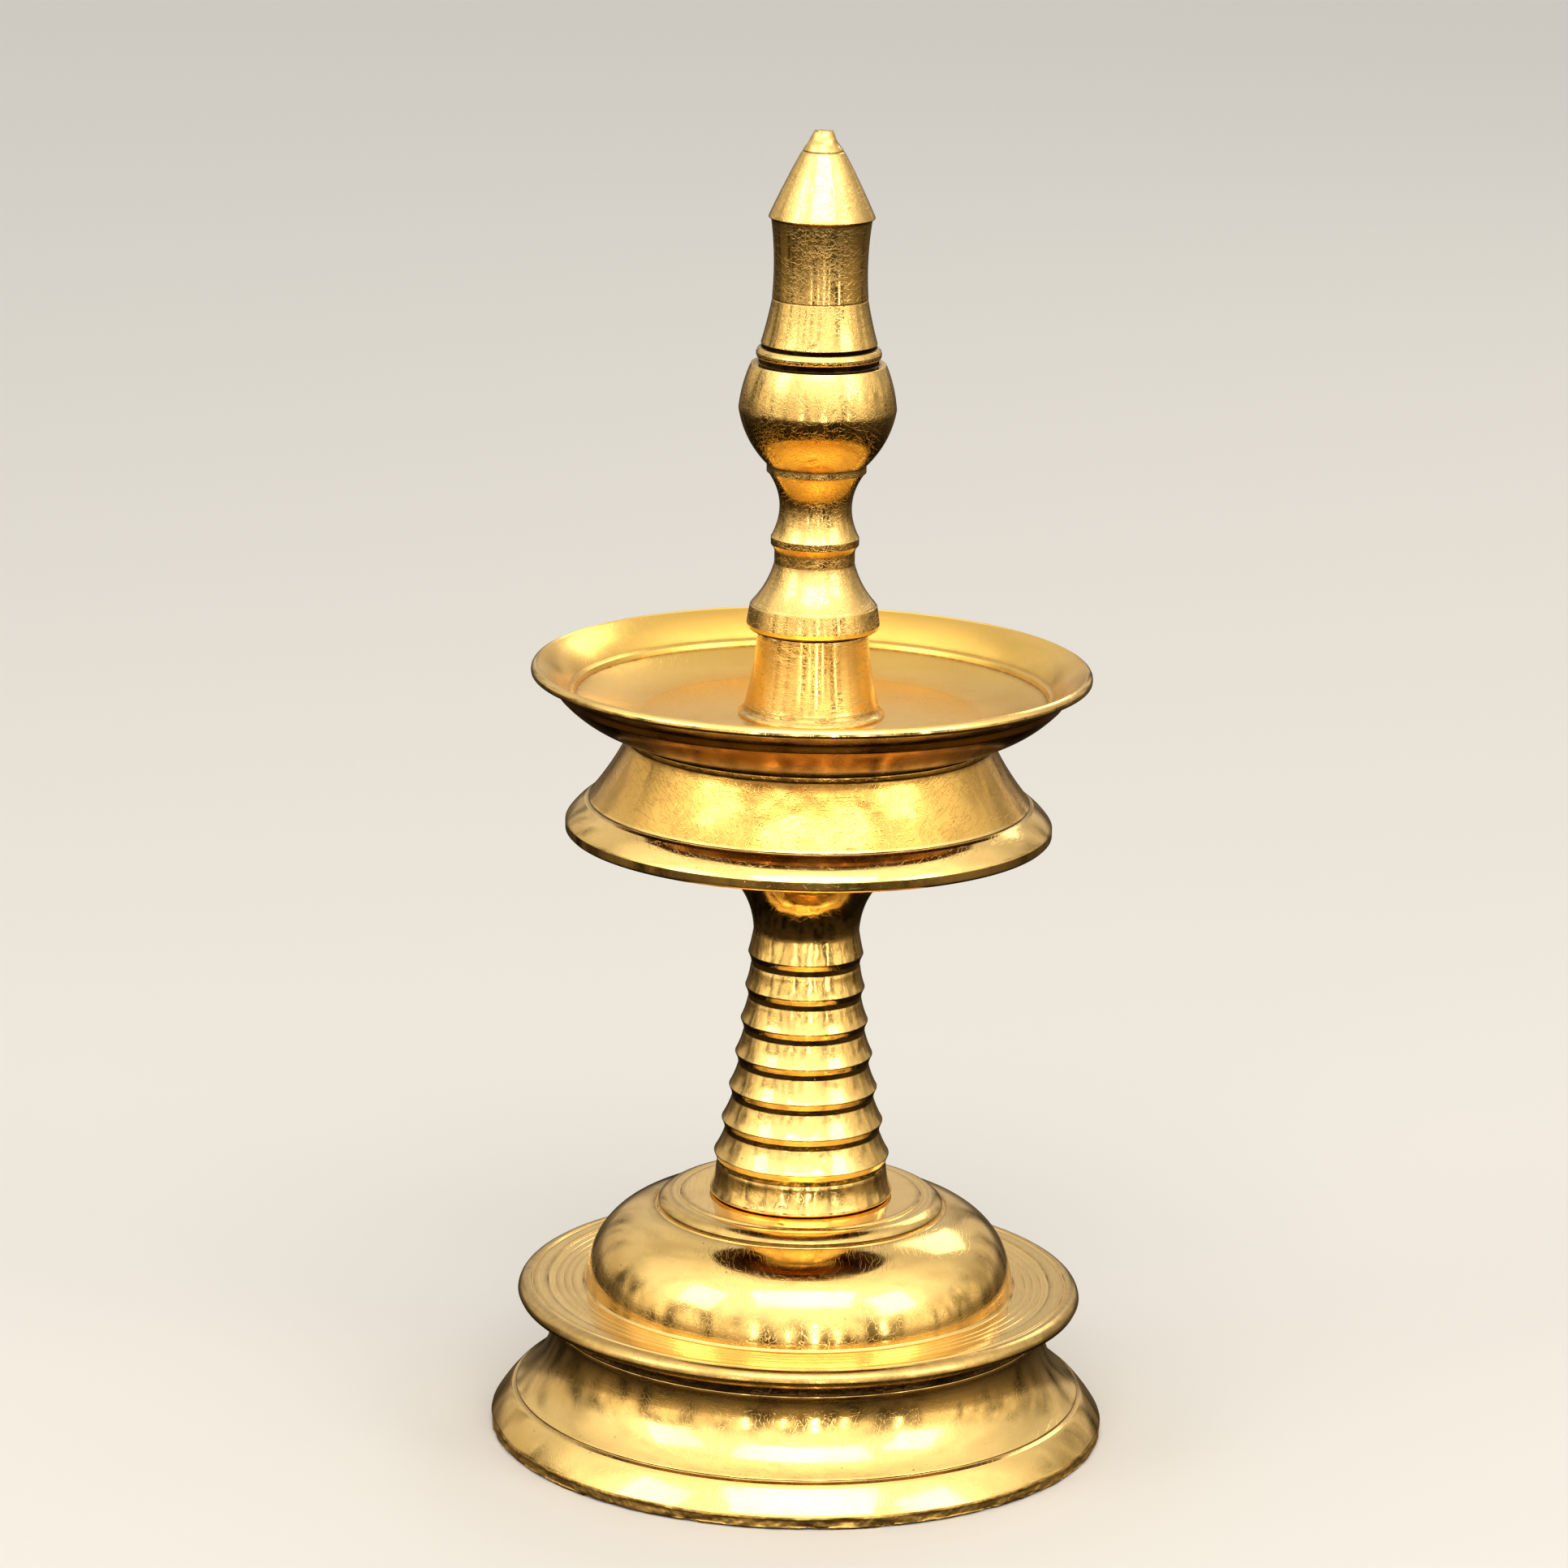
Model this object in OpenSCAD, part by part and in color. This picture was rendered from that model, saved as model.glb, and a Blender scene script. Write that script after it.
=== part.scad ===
// Brass standing oil lamp that unscrews into base, stem, dish and finial.
// Every piece is a body of revolution about Z. The origin is the middle of the foot, on the table.

/* [Foot ring] */
// Diameter of the bottom edge
foot_d = 89.6; // [86:0.2:93]
// Height of the cast foot ring
foot_h = 16.8; // [15:0.1:19]
// Diameter of the neck under the plate
foot_neck_d = 72.8; // [71.5:0.1:74]
// Diameter of the scribed groove
foot_groove_d = 82.8; // [81:0.1:84]
// Height of the scribed groove
foot_groove_z = 5.9; // [5:0.1:7]
// Height of the upright bottom edge
foot_edge_h = 1.9; // [1:0.1:2.5]

/* [Base dome] */
// Diameter of the flat plate
plate_d = 82; // [81:0.1:84]
// Thickness of the plate's rim
plate_rim_t = 1.8; // [1.5:0.1:2.2]
// Height of the brazed joint under the plate
foot_seam_h = 1.6; // [1:0.1:2]
// Thickness of the plate over the joint
plate_t = 3.2; // [2.8:0.1:4]
// Diameter where the dome meets the plate
dome_d = 62.6; // [61:0.1:64]
// Height of the dome above the plate
dome_h = 13.8; // [12:0.1:15]
// Diameter of the flat top, at its groove
dome_top_d = 42; // [40:0.1:44]

/* [Stem] */
// Height of the stem between its two seats
stem_h = 62.5; // [60:0.5:66]
// Diameter of the stem's foot
stem_foot_d = 26.5; // [26:0.1:28]
// Diameter of the slim neck
stem_neck_d = 15.3; // [14.5:0.1:16]
// Height of the slim neck above the stem's foot
stem_neck_z = 39.5; // [39:0.1:40.5]
// Number of ridges
ridge_n = 7; // [5:1:8]
// Height from one ridge to the next
ridge_pitch = 5; // [4.5:0.1:5]
// Diameter of the top ridge
ridge_top_d = 16.7; // [16:0.1:17.5]
// Diameter of the bottom ridge
ridge_bottom_d = 25.6; // [24:0.1:26]
// Depth of the groove under each ridge
ridge_cut = 0.4; // [0.3:0.1:0.8]

/* [Dish] */
// Diameter of the dish over its lip
dish_d = 80; // [79:0.1:82]
// Height of the lip's outer band
lip_h = 1.3; // [1:0.1:2]
// Depth of the dish from lip to floor
bowl_depth = 7.1; // [6.6:0.1:8.5]
// Diameter of the step inside the lip
bowl_step_d = 68; // [66:0.1:68.4]
// Diameter of the rounded body under the lip
bowl_body_d = 72.2; // [71.5:0.1:73]
// Thickness of the dish floor
floor_t = 2.5; // [2:0.1:3]

/* [Dish skirt] */
// Diameter of the skirt's bottom edge
skirt_d = 69.8; // [68:0.1:72]
// Height of the skirt
skirt_h = 14.3; // [13:0.1:15.5]
// Diameter at the crease under the dish
skirt_neck_d = 53; // [52:0.1:54]
// Height of the brazed joint at the crease
skirt_seam_h = 0.5; // [0.3:0.1:0.8]

/* [Collar] */
// Height of the collar above the dish floor
collar_h = 12.3; // [11:0.1:14]
// Diameter at the collar's top
collar_top_d = 15.8; // [15.4:0.1:16.4]
// Diameter at the collar's foot
collar_foot_d = 20.9; // [20:0.1:22]

/* [Finial] */
// Height of the finial
finial_h = 71.2; // [70.5:0.1:74]
// Diameter of the flange on the collar
flange_d = 19.1; // [18.5:0.1:20]
// Diameter of the neck above the flange
neck_d = 11.5; // [11.2:0.1:12]
// Diameter of the small bead
bead_d = 12.6; // [12.3:0.1:13]
// Diameter of the waist under the bulb
waist_d = 10.5; // [10.2:0.1:11]
// Diameter of the bulb
bulb_d = 22.4; // [21.5:0.1:23]
// Diameter of the bell's foot above the bulb
bell_foot_d = 16.5; // [16:0.1:17]
// Diameter of the bell's slim part
bell_d = 13.4; // [12.8:0.1:13.6]
// Diameter of the cone's base
cone_d = 15.1; // [14.6:0.1:15.6]

/* [Screw joints] */
// Major diameter of the threads (quarter-inch Whitworth)
thread_d = 6.35; // [6:0.01:6.5]
// Pitch of the threads, 20 to the inch
thread_pitch = 1.27; // [1:0.01:1.4]
// Turns that unscrew a joint
thread_turns = 5.25; // [4:0.25:5.5]
// Radial clearance of a stud in its hole
thread_fit = 0.05; // [0.02:0.01:0.08]
// Gap left between two seats
seat_gap = 0.1; // [0.05:0.01:0.2]

/* [Hidden] */
$fn = 128;

// Small details that all the castings share
edge = 0.3;       // broken edge
scribe = 0.25;    // depth and half width of a scribed line
wall = 2.7;       // wall of the hollow castings
slip = 0.05;      // radial slip between a spigot and its socket

// Levels of the stack, from the table up
plate_bottom_z = foot_h + foot_seam_h;
plate_z = plate_bottom_z + plate_t;
dome_top_z = plate_z + dome_h;
stem_z = dome_top_z + seat_gap;
stem_top_z = stem_z + stem_h;
collar_bottom_z = stem_top_z + seat_gap;
hub_h = 8.8;      // from the collar's lower end to the dish floor
floor_z = collar_bottom_z + hub_h;
floor_bottom_z = floor_z - floor_t;
lip_z = floor_z + bowl_depth;
skirt_top_z = floor_bottom_z - skirt_seam_h;
skirt_z = skirt_top_z - skirt_h;
collar_top_z = floor_z + collar_h;
finial_z = collar_top_z + seat_gap;

// Radii and lengths that more than one piece uses
bore_r = thread_d / 2 + thread_fit;
travel = thread_turns * thread_pitch;
stud_grip = 10;   // length of stud that stays in the stem or the finial
spigot_r = foot_neck_d / 2 - wall;
spigot_h = 4.5;
hub_bore_r = 6;

brass = "goldenrod";
dark_brass = "saddlebrown";

// Points from p to q on a shallow curve. A positive sag bulges to the right of the way travelled,
// by that much at mid length.
function bow(p, q, sag, n = 8) =
    [for (i = [0:n])
        let (t = i / n, d = q - p)
        p + d * t + [d[1], -d[0]] / norm(d) * 4 * sag * t * (1 - t)];

// The flared outline, going up, that the foot ring and the dish skirt share: an upright edge, a
// sloping band, a scribed groove, then a cove up to a short upright neck
function flare(r, z, edge_h, groove_r, groove_z, neck_r, top_z, sag) =
    let (shelf = 0.6, lip = 0.9, band_sag = 0.12)
    concat(
        [[r - edge, z], [r, z + edge], [r, z + edge_h - edge]],
        bow([r - edge / 2, z + edge_h], [groove_r + shelf, groove_z - 2 * scribe], band_sag),
        [[groove_r + edge, groove_z - scribe], [groove_r - edge, groove_z]],
        bow([groove_r - edge, groove_z + scribe], [neck_r - edge, top_z - lip], sag),
        [[neck_r, top_z - lip + edge], [neck_r, top_z]]);

module turned(outline) rotate_extrude() polygon(outline);

module foot_ring() {
    r = foot_d / 2;
    inner_r = spigot_r - edge;
    cove = 1.5;
    color(brass) turned(concat(
        flare(r, 0, foot_edge_h, foot_groove_d / 2, foot_groove_z, foot_neck_d / 2, foot_h, -cove),
        [[spigot_r + slip, foot_h], [spigot_r + slip, foot_h - spigot_h]],
        bow([inner_r, foot_h - spigot_h], [r - wall - edge, foot_edge_h], cove),
        [[r - wall, 0]]));
}

module foot_seam() {
    out_r = foot_neck_d / 2;
    color(dark_brass) turned(concat(
        [[spigot_r + slip, foot_h]],
        bow([out_r - edge, foot_h], [out_r - edge, plate_bottom_z], edge, 4),
        [[spigot_r + slip, plate_bottom_z]]));
}

module base_dome() {
    rim_r = plate_d / 2;
    dome_r = dome_d / 2;
    top_r = dome_top_d / 2;
    bead_w = 3.4;          // rounded bead round the flat top
    bead_drop = 1.3;
    groove_drop = 2.2;     // groove outside the bead
    bulge = 2.7;           // of the dome's side
    step_r = 36.5;         // small step in the plate
    step_h = 0.25;
    ring_r = 38.9;         // scribed line in the plate
    rim_w = 1.2;           // rounding of the plate's rim
    boss_r = 7.5;          // threaded boss under the flat top
    boss_z = dome_top_z - 12.8;
    ceiling_z = dome_top_z - 4.6;
    shell = 2.3;           // wall of the dome's side
    spigot_z = foot_h - spigot_h + edge;
    color(brass) turned(concat(
        [[bore_r, boss_z], [bore_r, dome_top_z], [top_r - bead_w - edge, dome_top_z],
         [top_r - bead_w, dome_top_z - edge]],
        bow([top_r - bead_w, dome_top_z - edge], [top_r - edge, dome_top_z - bead_drop], -0.5),
        [[top_r - edge, dome_top_z - groove_drop + scribe], [top_r, dome_top_z - groove_drop]],
        bow([top_r + edge, dome_top_z - groove_drop + edge], [dome_r, plate_z + edge], -bulge, 12),
        [[dome_r + edge, plate_z], [step_r, plate_z], [step_r + step_h, plate_z + step_h],
         [ring_r - scribe, plate_z + step_h], [ring_r, plate_z], [ring_r + scribe, plate_z + step_h]],
        bow([rim_r - rim_w, plate_z + step_h], [rim_r, plate_z - plate_rim_t + 2 * edge], -edge),
        [[rim_r - edge, plate_z - plate_rim_t], [rim_r - wall, plate_z - plate_rim_t - edge],
         [rim_r - wall - 2 * edge, plate_bottom_z],
         [spigot_r, plate_bottom_z], [spigot_r, spigot_z],
         [spigot_r - wall, spigot_z], [spigot_r - wall, plate_bottom_z]],
        bow([dome_r - shell, plate_bottom_z + 1], [top_r - 2 * shell, ceiling_z], bulge - 0.5, 12),
        [[boss_r + 1, ceiling_z], [boss_r, ceiling_z - 1], [boss_r, boss_z]]));
}

// A plain stud at the thread's major diameter, chamfered at both ends
module stud(bottom_z, top_z) {
    r = thread_d / 2;
    lead = 0.6;
    color(brass) turned([[0, bottom_z], [r - lead, bottom_z], [r, bottom_z + lead],
        [r, top_z - lead], [r - lead, top_z], [0, top_z]]);
}

// Each stud is clear of its threaded hole by seat_gap once unscrewed
module lower_stud() stud(dome_top_z + seat_gap - travel, stem_z + stud_grip);
module upper_stud() stud(stem_top_z - stud_grip, collar_bottom_z - seat_gap + travel);
module finial_stud() stud(collar_top_z + seat_gap - travel, finial_z + stud_grip);

module stem() {
    foot_r = stem_foot_d / 2;
    neck_r = stem_neck_d / 2;
    neck_z = stem_z + stem_neck_z;
    edge_1_z = neck_z - 3.4;        // crisp lower edge of the top ridge
    taper = 1.45;                   // ridges widen faster towards the foot
    recess = 2;                     // height of the recess under a ridge
    under_h = 0.9;                  // slope under the edge, down to the deepest part
    collar_r = 12.2;                // flared head, hidden in the skirt
    collar_z = stem_z + 49.4;
    collar_edge = 1.2;
    head_r = 8.5;                   // plug that carries the dish
    hole_h = stud_grip + 1;
    tip = 1.5;
    function ridge_r(i) = ridge_top_d / 2
        + (ridge_bottom_d - ridge_top_d) / 2 * pow(i / (ridge_n - 1), taper);
    // Going up: the recess under ridge i, its crisp lower edge, then its hollow face
    function ridge(i) =
        let (z = edge_1_z - i * ridge_pitch, r = ridge_r(i))
        concat(
            [[r - ridge_cut - 0.1, z - recess + edge], [r - ridge_cut, z - under_h]],
            i == 0 ? bow([r, z], [neck_r, neck_z], -0.05, 6)
                   : bow([r, z], [ridge_r(i - 1) - ridge_cut, z + ridge_pitch - recess], -0.1, 6));
    foot_top_z = edge_1_z - (ridge_n - 1) * ridge_pitch - recess;
    color(brass) turned(concat(
        [[bore_r, stem_z], [foot_r - edge, stem_z], [foot_r, stem_z + edge]],
        bow([foot_r, stem_z + 2 * edge], [ridge_r(ridge_n - 1) - ridge_cut, foot_top_z], -0.15, 6),
        [for (i = [ridge_n - 1:-1:0]) each ridge(i)],
        bow([neck_r + 0.02, neck_z + 0.4], [collar_r - edge, collar_z - collar_edge], -0.95),
        [[collar_r, collar_z - collar_edge + edge], [collar_r, collar_z],
         [collar_r - 2 * edge, collar_z + 2 * edge],
         [head_r + 1, collar_z + collar_edge + edge], [head_r, collar_z + 2 * collar_edge],
         [head_r, stem_top_z],
         [bore_r, stem_top_z], [bore_r, stem_top_z - hole_h], [0, stem_top_z - hole_h - tip],
         [0, stem_z + hole_h + tip], [bore_r, stem_z + hole_h]]));
}

module dish_bowl() {
    lip_r = dish_d / 2;
    body_r = bowl_body_d / 2;
    step_r = bowl_step_d / 2;
    neck_r = skirt_neck_d / 2;
    hub_r = 9.5;                          // hub that hangs under the floor
    hub_z = collar_bottom_z + 3.2;
    flat_r = 24;                          // flat part of the floor
    under_lip_z = lip_z - lip_h - 2;      // top of the body's side
    body_edge_h = 1.3;
    step_z = lip_z - 4;                   // step inside the lip
    lip_w = 0.75;                         // flat top of the lip
    color(brass) turned(concat(
        [[hub_bore_r + slip, floor_z], [hub_bore_r + slip, hub_z], [hub_r - edge, hub_z],
         [hub_r, hub_z + edge], [hub_r + edge, floor_bottom_z - edge], [hub_r + 2 * edge, floor_bottom_z],
         [neck_r + 2 * edge, floor_bottom_z]],
        bow([neck_r + 3 * edge, floor_bottom_z + edge / 2], [body_r - edge, under_lip_z - body_edge_h], 0.7),
        [[body_r, under_lip_z - body_edge_h + edge], [body_r, under_lip_z],
         [body_r + 2 * edge, under_lip_z + edge],
         [lip_r - 2 * edge, lip_z - lip_h - edge], [lip_r, lip_z - lip_h],
         [lip_r - edge / 2, lip_z - 2 * edge], [lip_r - 1.5 * edge, lip_z - edge / 2],
         [lip_r - 2.2 * edge, lip_z], [lip_r - lip_w, lip_z]],
        bow([lip_r - lip_w - edge / 2, lip_z - edge / 2], [step_r + 2 * edge, step_z + edge], 0.35),
        [[step_r, step_z], [step_r - edge, step_z - 2 * edge]],
        bow([step_r - edge, step_z - 2.5 * edge], [flat_r, floor_z], -0.4)));
}

module dish_skirt() {
    r = skirt_d / 2;
    top_r = skirt_neck_d / 2;
    edge_h = 1.8;
    groove_r = 31.9;
    groove_z = skirt_z + 4.6;
    cove = 0.3;
    inner_cove = 1.2;
    color(brass) turned(concat(
        flare(r, skirt_z, edge_h, groove_r, groove_z, top_r, skirt_top_z, -cove),
        bow([top_r - wall, skirt_top_z], [r - wall - edge, skirt_z + edge_h], inner_cove),
        [[r - wall, skirt_z]]));
}

module skirt_seam() {
    r = skirt_neck_d / 2;
    color(dark_brass) turned([[r - wall, skirt_top_z], [r - edge / 2, skirt_top_z],
        [r + edge / 2, floor_bottom_z], [r - wall, floor_bottom_z]]);
}

module dish_collar() {
    top_r = collar_top_d / 2;
    foot_r = collar_foot_d / 2;
    fillet_w = 0.9;
    fillet_h = 1.6;
    color(brass) turned(concat(
        [[bore_r, collar_bottom_z], [hub_bore_r, collar_bottom_z], [hub_bore_r, floor_z],
         [foot_r, floor_z], [foot_r, floor_z + edge]],
        bow([foot_r - edge, floor_z + 2 * edge], [foot_r - fillet_w, floor_z + fillet_h], -0.15, 4),
        bow([foot_r - fillet_w - edge / 6, floor_z + fillet_h + edge / 3],
            [top_r, collar_top_z - edge], -0.25),
        [[top_r - edge, collar_top_z], [bore_r, collar_top_z]]));
}

module finial() {
    hole_h = stud_grip + 1;
    tip = 1.5;
    flange_r = flange_d / 2;
    neck_r = neck_d / 2;
    bead_out = (bead_d - neck_d) / 2;
    waist_r = waist_d / 2;
    bulb_r = bulb_d / 2;
    bell_foot_r = bell_foot_d / 2;
    bell_r = bell_d / 2;
    cone_r = cone_d / 2;
    // Heights above the flange's seat
    flange_h = 3.5;
    neck_z = 9.6;
    neck_top_z = 11.3;
    bead_z = 12.3;
    bead_top_z = 13.5;
    bulb_bottom_z = 23.8;
    bulb_z = 31.7;
    bulb_top_z = 38.2;
    ring_z = 38.8;
    ring_top_z = 40.5;
    bell_z = 41.1;
    line_z = 47.4;
    cone_z = 58.9;
    nub_z = 68.2;
    // Small lips and lines
    cup_r = 7.1;           // lip of the cup that holds the bulb
    cup_h = 1.2;
    ring_out = 0.25;       // ring between bulb and bell, beyond the bell's foot
    shoulder_w = 1.3;      // flat top of the bulb
    nub_r = 2.9;
    nub_tip_r = 1.45;
    outline = concat(
        [[bore_r, 0], [flange_r - 2 * edge, 0], [flange_r - edge / 2, edge], [flange_r, 3 * edge],
         [flange_r - 1.5 * edge, flange_h], [flange_r - 2 * edge, flange_h + edge / 2]],
        bow([flange_r - 2.2 * edge, flange_h + edge], [neck_r, neck_z], -0.4),
        [[neck_r, neck_top_z], [neck_r + bead_out - scribe, bead_z - edge],
         [neck_r + bead_out, bead_z], [neck_r + bead_out, bead_top_z - edge / 2]],
        bow([neck_r + bead_out - edge / 3, bead_top_z], [cup_r - scribe, bulb_bottom_z - cup_h],
            waist_r - 6.6, 12),
        [[cup_r, bulb_bottom_z - cup_h + edge / 2], [cup_r, bulb_bottom_z]],
        bow([cup_r + edge, bulb_bottom_z + edge], [bulb_r, bulb_z], 0.65),
        bow([bulb_r - 0.01, bulb_z + edge], [bell_foot_r + shoulder_w, bulb_top_z], 0.25),
        [[bell_foot_r + ring_out, bulb_top_z + edge / 2]],
        bow([bell_foot_r + ring_out, ring_z], [bell_foot_r + ring_out, ring_top_z], 0.4, 6),
        [[bell_foot_r - edge / 2, ring_top_z + edge / 3], [bell_foot_r - edge / 2, bell_z - edge / 3]],
        bow([bell_foot_r, bell_z], [bell_r + scribe, line_z - scribe], -0.08),
        [[bell_r, line_z]],
        bow([bell_r + scribe, line_z + scribe], [bell_r + 1.5 * edge, cone_z - edge], -0.3),
        [[cone_r - edge / 2, cone_z - edge / 2], [cone_r, cone_z]],
        bow([cone_r - edge / 3, cone_z + edge], [nub_r + scribe / 2, nub_z - scribe / 2], 0.1),
        [[nub_r - scribe / 3, nub_z]],
        bow([nub_r - scribe / 4, nub_z + scribe / 2], [nub_tip_r, finial_h - 2 * edge], 0.12, 4),
        bow([nub_tip_r - edge / 2, finial_h - 1.5 * edge], [0, finial_h], 0.1, 4),
        [[0, hole_h + tip], [bore_r, hole_h]]);
    color(brass) translate([0, 0, finial_z]) turned(outline);
}

foot_ring();
foot_seam();
base_dome();
lower_stud();
stem();
upper_stud();
dish_bowl();
dish_skirt();
skirt_seam();
dish_collar();
finial_stud();
finial();
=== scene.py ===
"""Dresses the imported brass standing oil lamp: spun castings, brazed joints, cut threads and brass finishes.

Lengths inside the classes are millimetres, and turned outlines are (radius, height) pairs. The frame
gives the places: every level and main radius is read from the CAD node that a piece stands for.
"""

from __future__ import annotations

import logging
import math
from collections.abc import Callable, Sequence
from dataclasses import dataclass, replace
from enum import Enum

import bpy
import numpy as np
from mathutils import Euler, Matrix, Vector


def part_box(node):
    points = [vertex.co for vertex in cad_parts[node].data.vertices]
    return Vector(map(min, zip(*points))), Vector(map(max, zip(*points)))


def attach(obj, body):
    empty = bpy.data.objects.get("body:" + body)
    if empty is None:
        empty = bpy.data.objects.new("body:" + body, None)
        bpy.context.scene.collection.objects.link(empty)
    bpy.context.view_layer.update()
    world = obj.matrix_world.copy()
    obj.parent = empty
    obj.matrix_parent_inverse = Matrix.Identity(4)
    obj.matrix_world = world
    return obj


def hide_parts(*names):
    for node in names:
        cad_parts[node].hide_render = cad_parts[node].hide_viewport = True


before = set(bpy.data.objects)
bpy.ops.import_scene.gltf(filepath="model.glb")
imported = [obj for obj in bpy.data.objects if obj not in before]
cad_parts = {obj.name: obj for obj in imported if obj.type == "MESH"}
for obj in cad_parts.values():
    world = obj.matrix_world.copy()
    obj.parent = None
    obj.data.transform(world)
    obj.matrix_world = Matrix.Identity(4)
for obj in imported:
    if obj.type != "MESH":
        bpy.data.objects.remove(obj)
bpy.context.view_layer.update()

log = logging.getLogger("oil_lamp")

MM = 0.001
FULL_TURN = 2 * math.pi
BOX_MARGIN = 0.02          # kept clear of the CAD box by the grain of rough surfaces
MOST_QUADS = 94_000        # of one piece, so that its mesh is exported whole
EDGE = 0.3                 # broken edge of every casting
SCRIBE = 0.25              # depth and half width of a scribed line
FINE = 0.09                # the same for a hair-thin line
SLIP = 0.05                # clearance between a plug and its socket
BORE_R = 3.225             # radius of every threaded hole
HOLE_H = 11.0              # depth of the blind ones
DRILL_TIP = 1.5            # depth of the cone that the drill leaves
MARK_R = 20.0              # radius at which the length of a turning mark is given
TABLE_WIDTH = 509          # columns of a random relief table, a prime so that it doesn't line up

Tree = bpy.types.NodeTree
Socket = bpy.types.NodeSocket
Piece = bpy.types.Object
Rows = np.ndarray
Field = Callable[[Rows, Rows, Rows, Rows], Rows]   # of angle, way along the outline, radius and height


# ---------------- colours


def linear(code: str) -> tuple[float, float, float, float]:
    """Turns an sRGB hex colour into a linear one.

    Args:
        code: six hex digits, with or without a leading #.

    Returns:
        Red, green, blue and an alpha of 1.
    """
    parts = [int(code.lstrip("#")[i : i + 2], 16) / 255 for i in (0, 2, 4)]
    red, green, blue = (c / 12.92 if c <= 0.04045 else ((c + 0.055) / 1.055) ** 2.4 for c in parts)
    return red, green, blue, 1.0


# ---------------- outlines


class Cut(Enum):
    """How finely a stretch of outline is divided, in millimetres a step."""

    SHOWN = 0.7
    CURVED = 0.35
    HIDDEN = 3.0


@dataclass
class Outline:
    """The path of a turning tool round one casting, with the metal on its left.

    Attributes:
        points: (radius, height) pairs in millimetres.
        closed: whether the last point joins the first; a path that ends on the axis is open.
    """

    points: list[tuple[float, float]]
    closed: bool = True

    def to(self, r: float, z: float, cut: Cut = Cut.SHOWN) -> Outline:
        """Goes straight to a point.

        Args:
            r: radius to reach.
            z: height to reach.
            cut: how finely the stretch is divided.

        Returns:
            The outline itself, so that cuts can be chained.
        """
        start = self.points[-1]
        steps = max(1, math.ceil(math.dist(start, (r, z)) / cut.value))
        for i in range(1, steps + 1):
            share = i / steps
            self.points.append((start[0] + (r - start[0]) * share, start[1] + (z - start[1]) * share))
        return self

    def via(self, corners: Sequence[tuple[float, float]], cut: Cut = Cut.SHOWN) -> Outline:
        """Goes straight through several points in turn.

        Args:
            corners: the points.
            cut: how finely each stretch is divided.

        Returns:
            The outline itself.
        """
        for r, z in corners:
            self.to(r, z, cut)
        return self

    def bow(self, r: float, z: float, sag: float, cut: Cut = Cut.CURVED) -> Outline:
        """Goes to a point on a shallow curve.

        Args:
            r: radius to reach.
            z: height to reach.
            sag: how far the curve leaves the chord at mid length, to the right of the way travelled.
            cut: how finely the curve is divided.

        Returns:
            The outline itself.
        """
        r0, z0 = self.points[-1]
        dr, dz = r - r0, z - z0
        length = math.hypot(dr, dz)
        steps = max(4, math.ceil(length / cut.value))
        for i in range(1, steps + 1):
            share = i / steps
            out = 4 * sag * share * (1 - share) / length
            self.points.append((r0 + dr * share + dz * out, z0 + dz * share - dr * out))
        return self

    def eased(self, radius: float = 0.1, sharp: float = 14.0) -> Rows:
        """Rounds every corner a little, as polishing does.

        Args:
            radius: radius of the rounding.
            sharp: corners that turn by less than this many degrees stay as they are.

        Returns:
            The outline as an array of (radius, height) rows.
        """
        pts = np.array(self.points, float)
        keep = np.append(np.linalg.norm(np.diff(pts, axis=0), axis=1) > 1e-6, True)
        pts = pts[keep]
        if self.closed and np.linalg.norm(pts[0] - pts[-1]) < 1e-6:
            pts = pts[:-1]
        count, eased = len(pts), []
        for i, here in enumerate(pts):
            if not self.closed and i in (0, count - 1):
                eased.append(here)
                continue
            back, ahead = pts[i - 1] - here, pts[(i + 1) % count] - here
            near = min(np.linalg.norm(back), np.linalg.norm(ahead))
            back, ahead = back / np.linalg.norm(back), ahead / np.linalg.norm(ahead)
            turn = math.pi - math.acos(float(np.clip(back @ ahead, -1, 1)))
            if turn < math.radians(sharp):
                eased.append(here)
                continue
            reach = min(radius * math.tan(turn / 2), 0.42 * near)
            start, end = here + back * reach, here + ahead * reach
            for share in (0.0, 0.25, 0.5, 0.75, 1.0):
                eased.append((1 - share) ** 2 * start + 2 * share * (1 - share) * here + share**2 * end)
        return np.array(eased)


def steady(path: Rows, closed: bool, reach: float) -> Rows:
    """Smooths an outline along its own length.

    Args:
        path: (radius, height) rows.
        closed: whether the path joins up.
        reach: width of the smoothing in millimetres.

    Returns:
        Rows of the same shape.
    """
    lay = along(path)
    total = lay[-1] + (np.linalg.norm(path[0] - path[-1]) if closed else 0)
    gaps = np.abs(lay[:, None] - lay[None, :])
    gaps = np.minimum(gaps, total - gaps) if closed else gaps
    steps = np.gradient(lay)
    weights = np.exp(-((gaps / reach) ** 2)) * steps[None, :]
    return (weights / weights.sum(axis=1, keepdims=True)) @ path


def along(path: Rows) -> Rows:
    """Distance travelled along an outline at each of its points, in millimetres."""
    return np.concatenate([[0.0], np.cumsum(np.linalg.norm(np.diff(path, axis=0), axis=1))])


def facing(path: Rows, closed: bool) -> Rows:
    """Outward direction at each point of an outline.

    Args:
        path: (radius, height) rows.
        closed: whether the path joins up.

    Returns:
        Rows of unit length.
    """
    if closed:
        way = np.roll(path, -1, axis=0) - np.roll(path, 1, axis=0)
    else:
        way = np.gradient(path, axis=0)
    out = np.stack([way[:, 1], -way[:, 0]], axis=1)
    return out / np.maximum(np.linalg.norm(out, axis=1, keepdims=True), 1e-9)


# ---------------- surface relief


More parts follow.
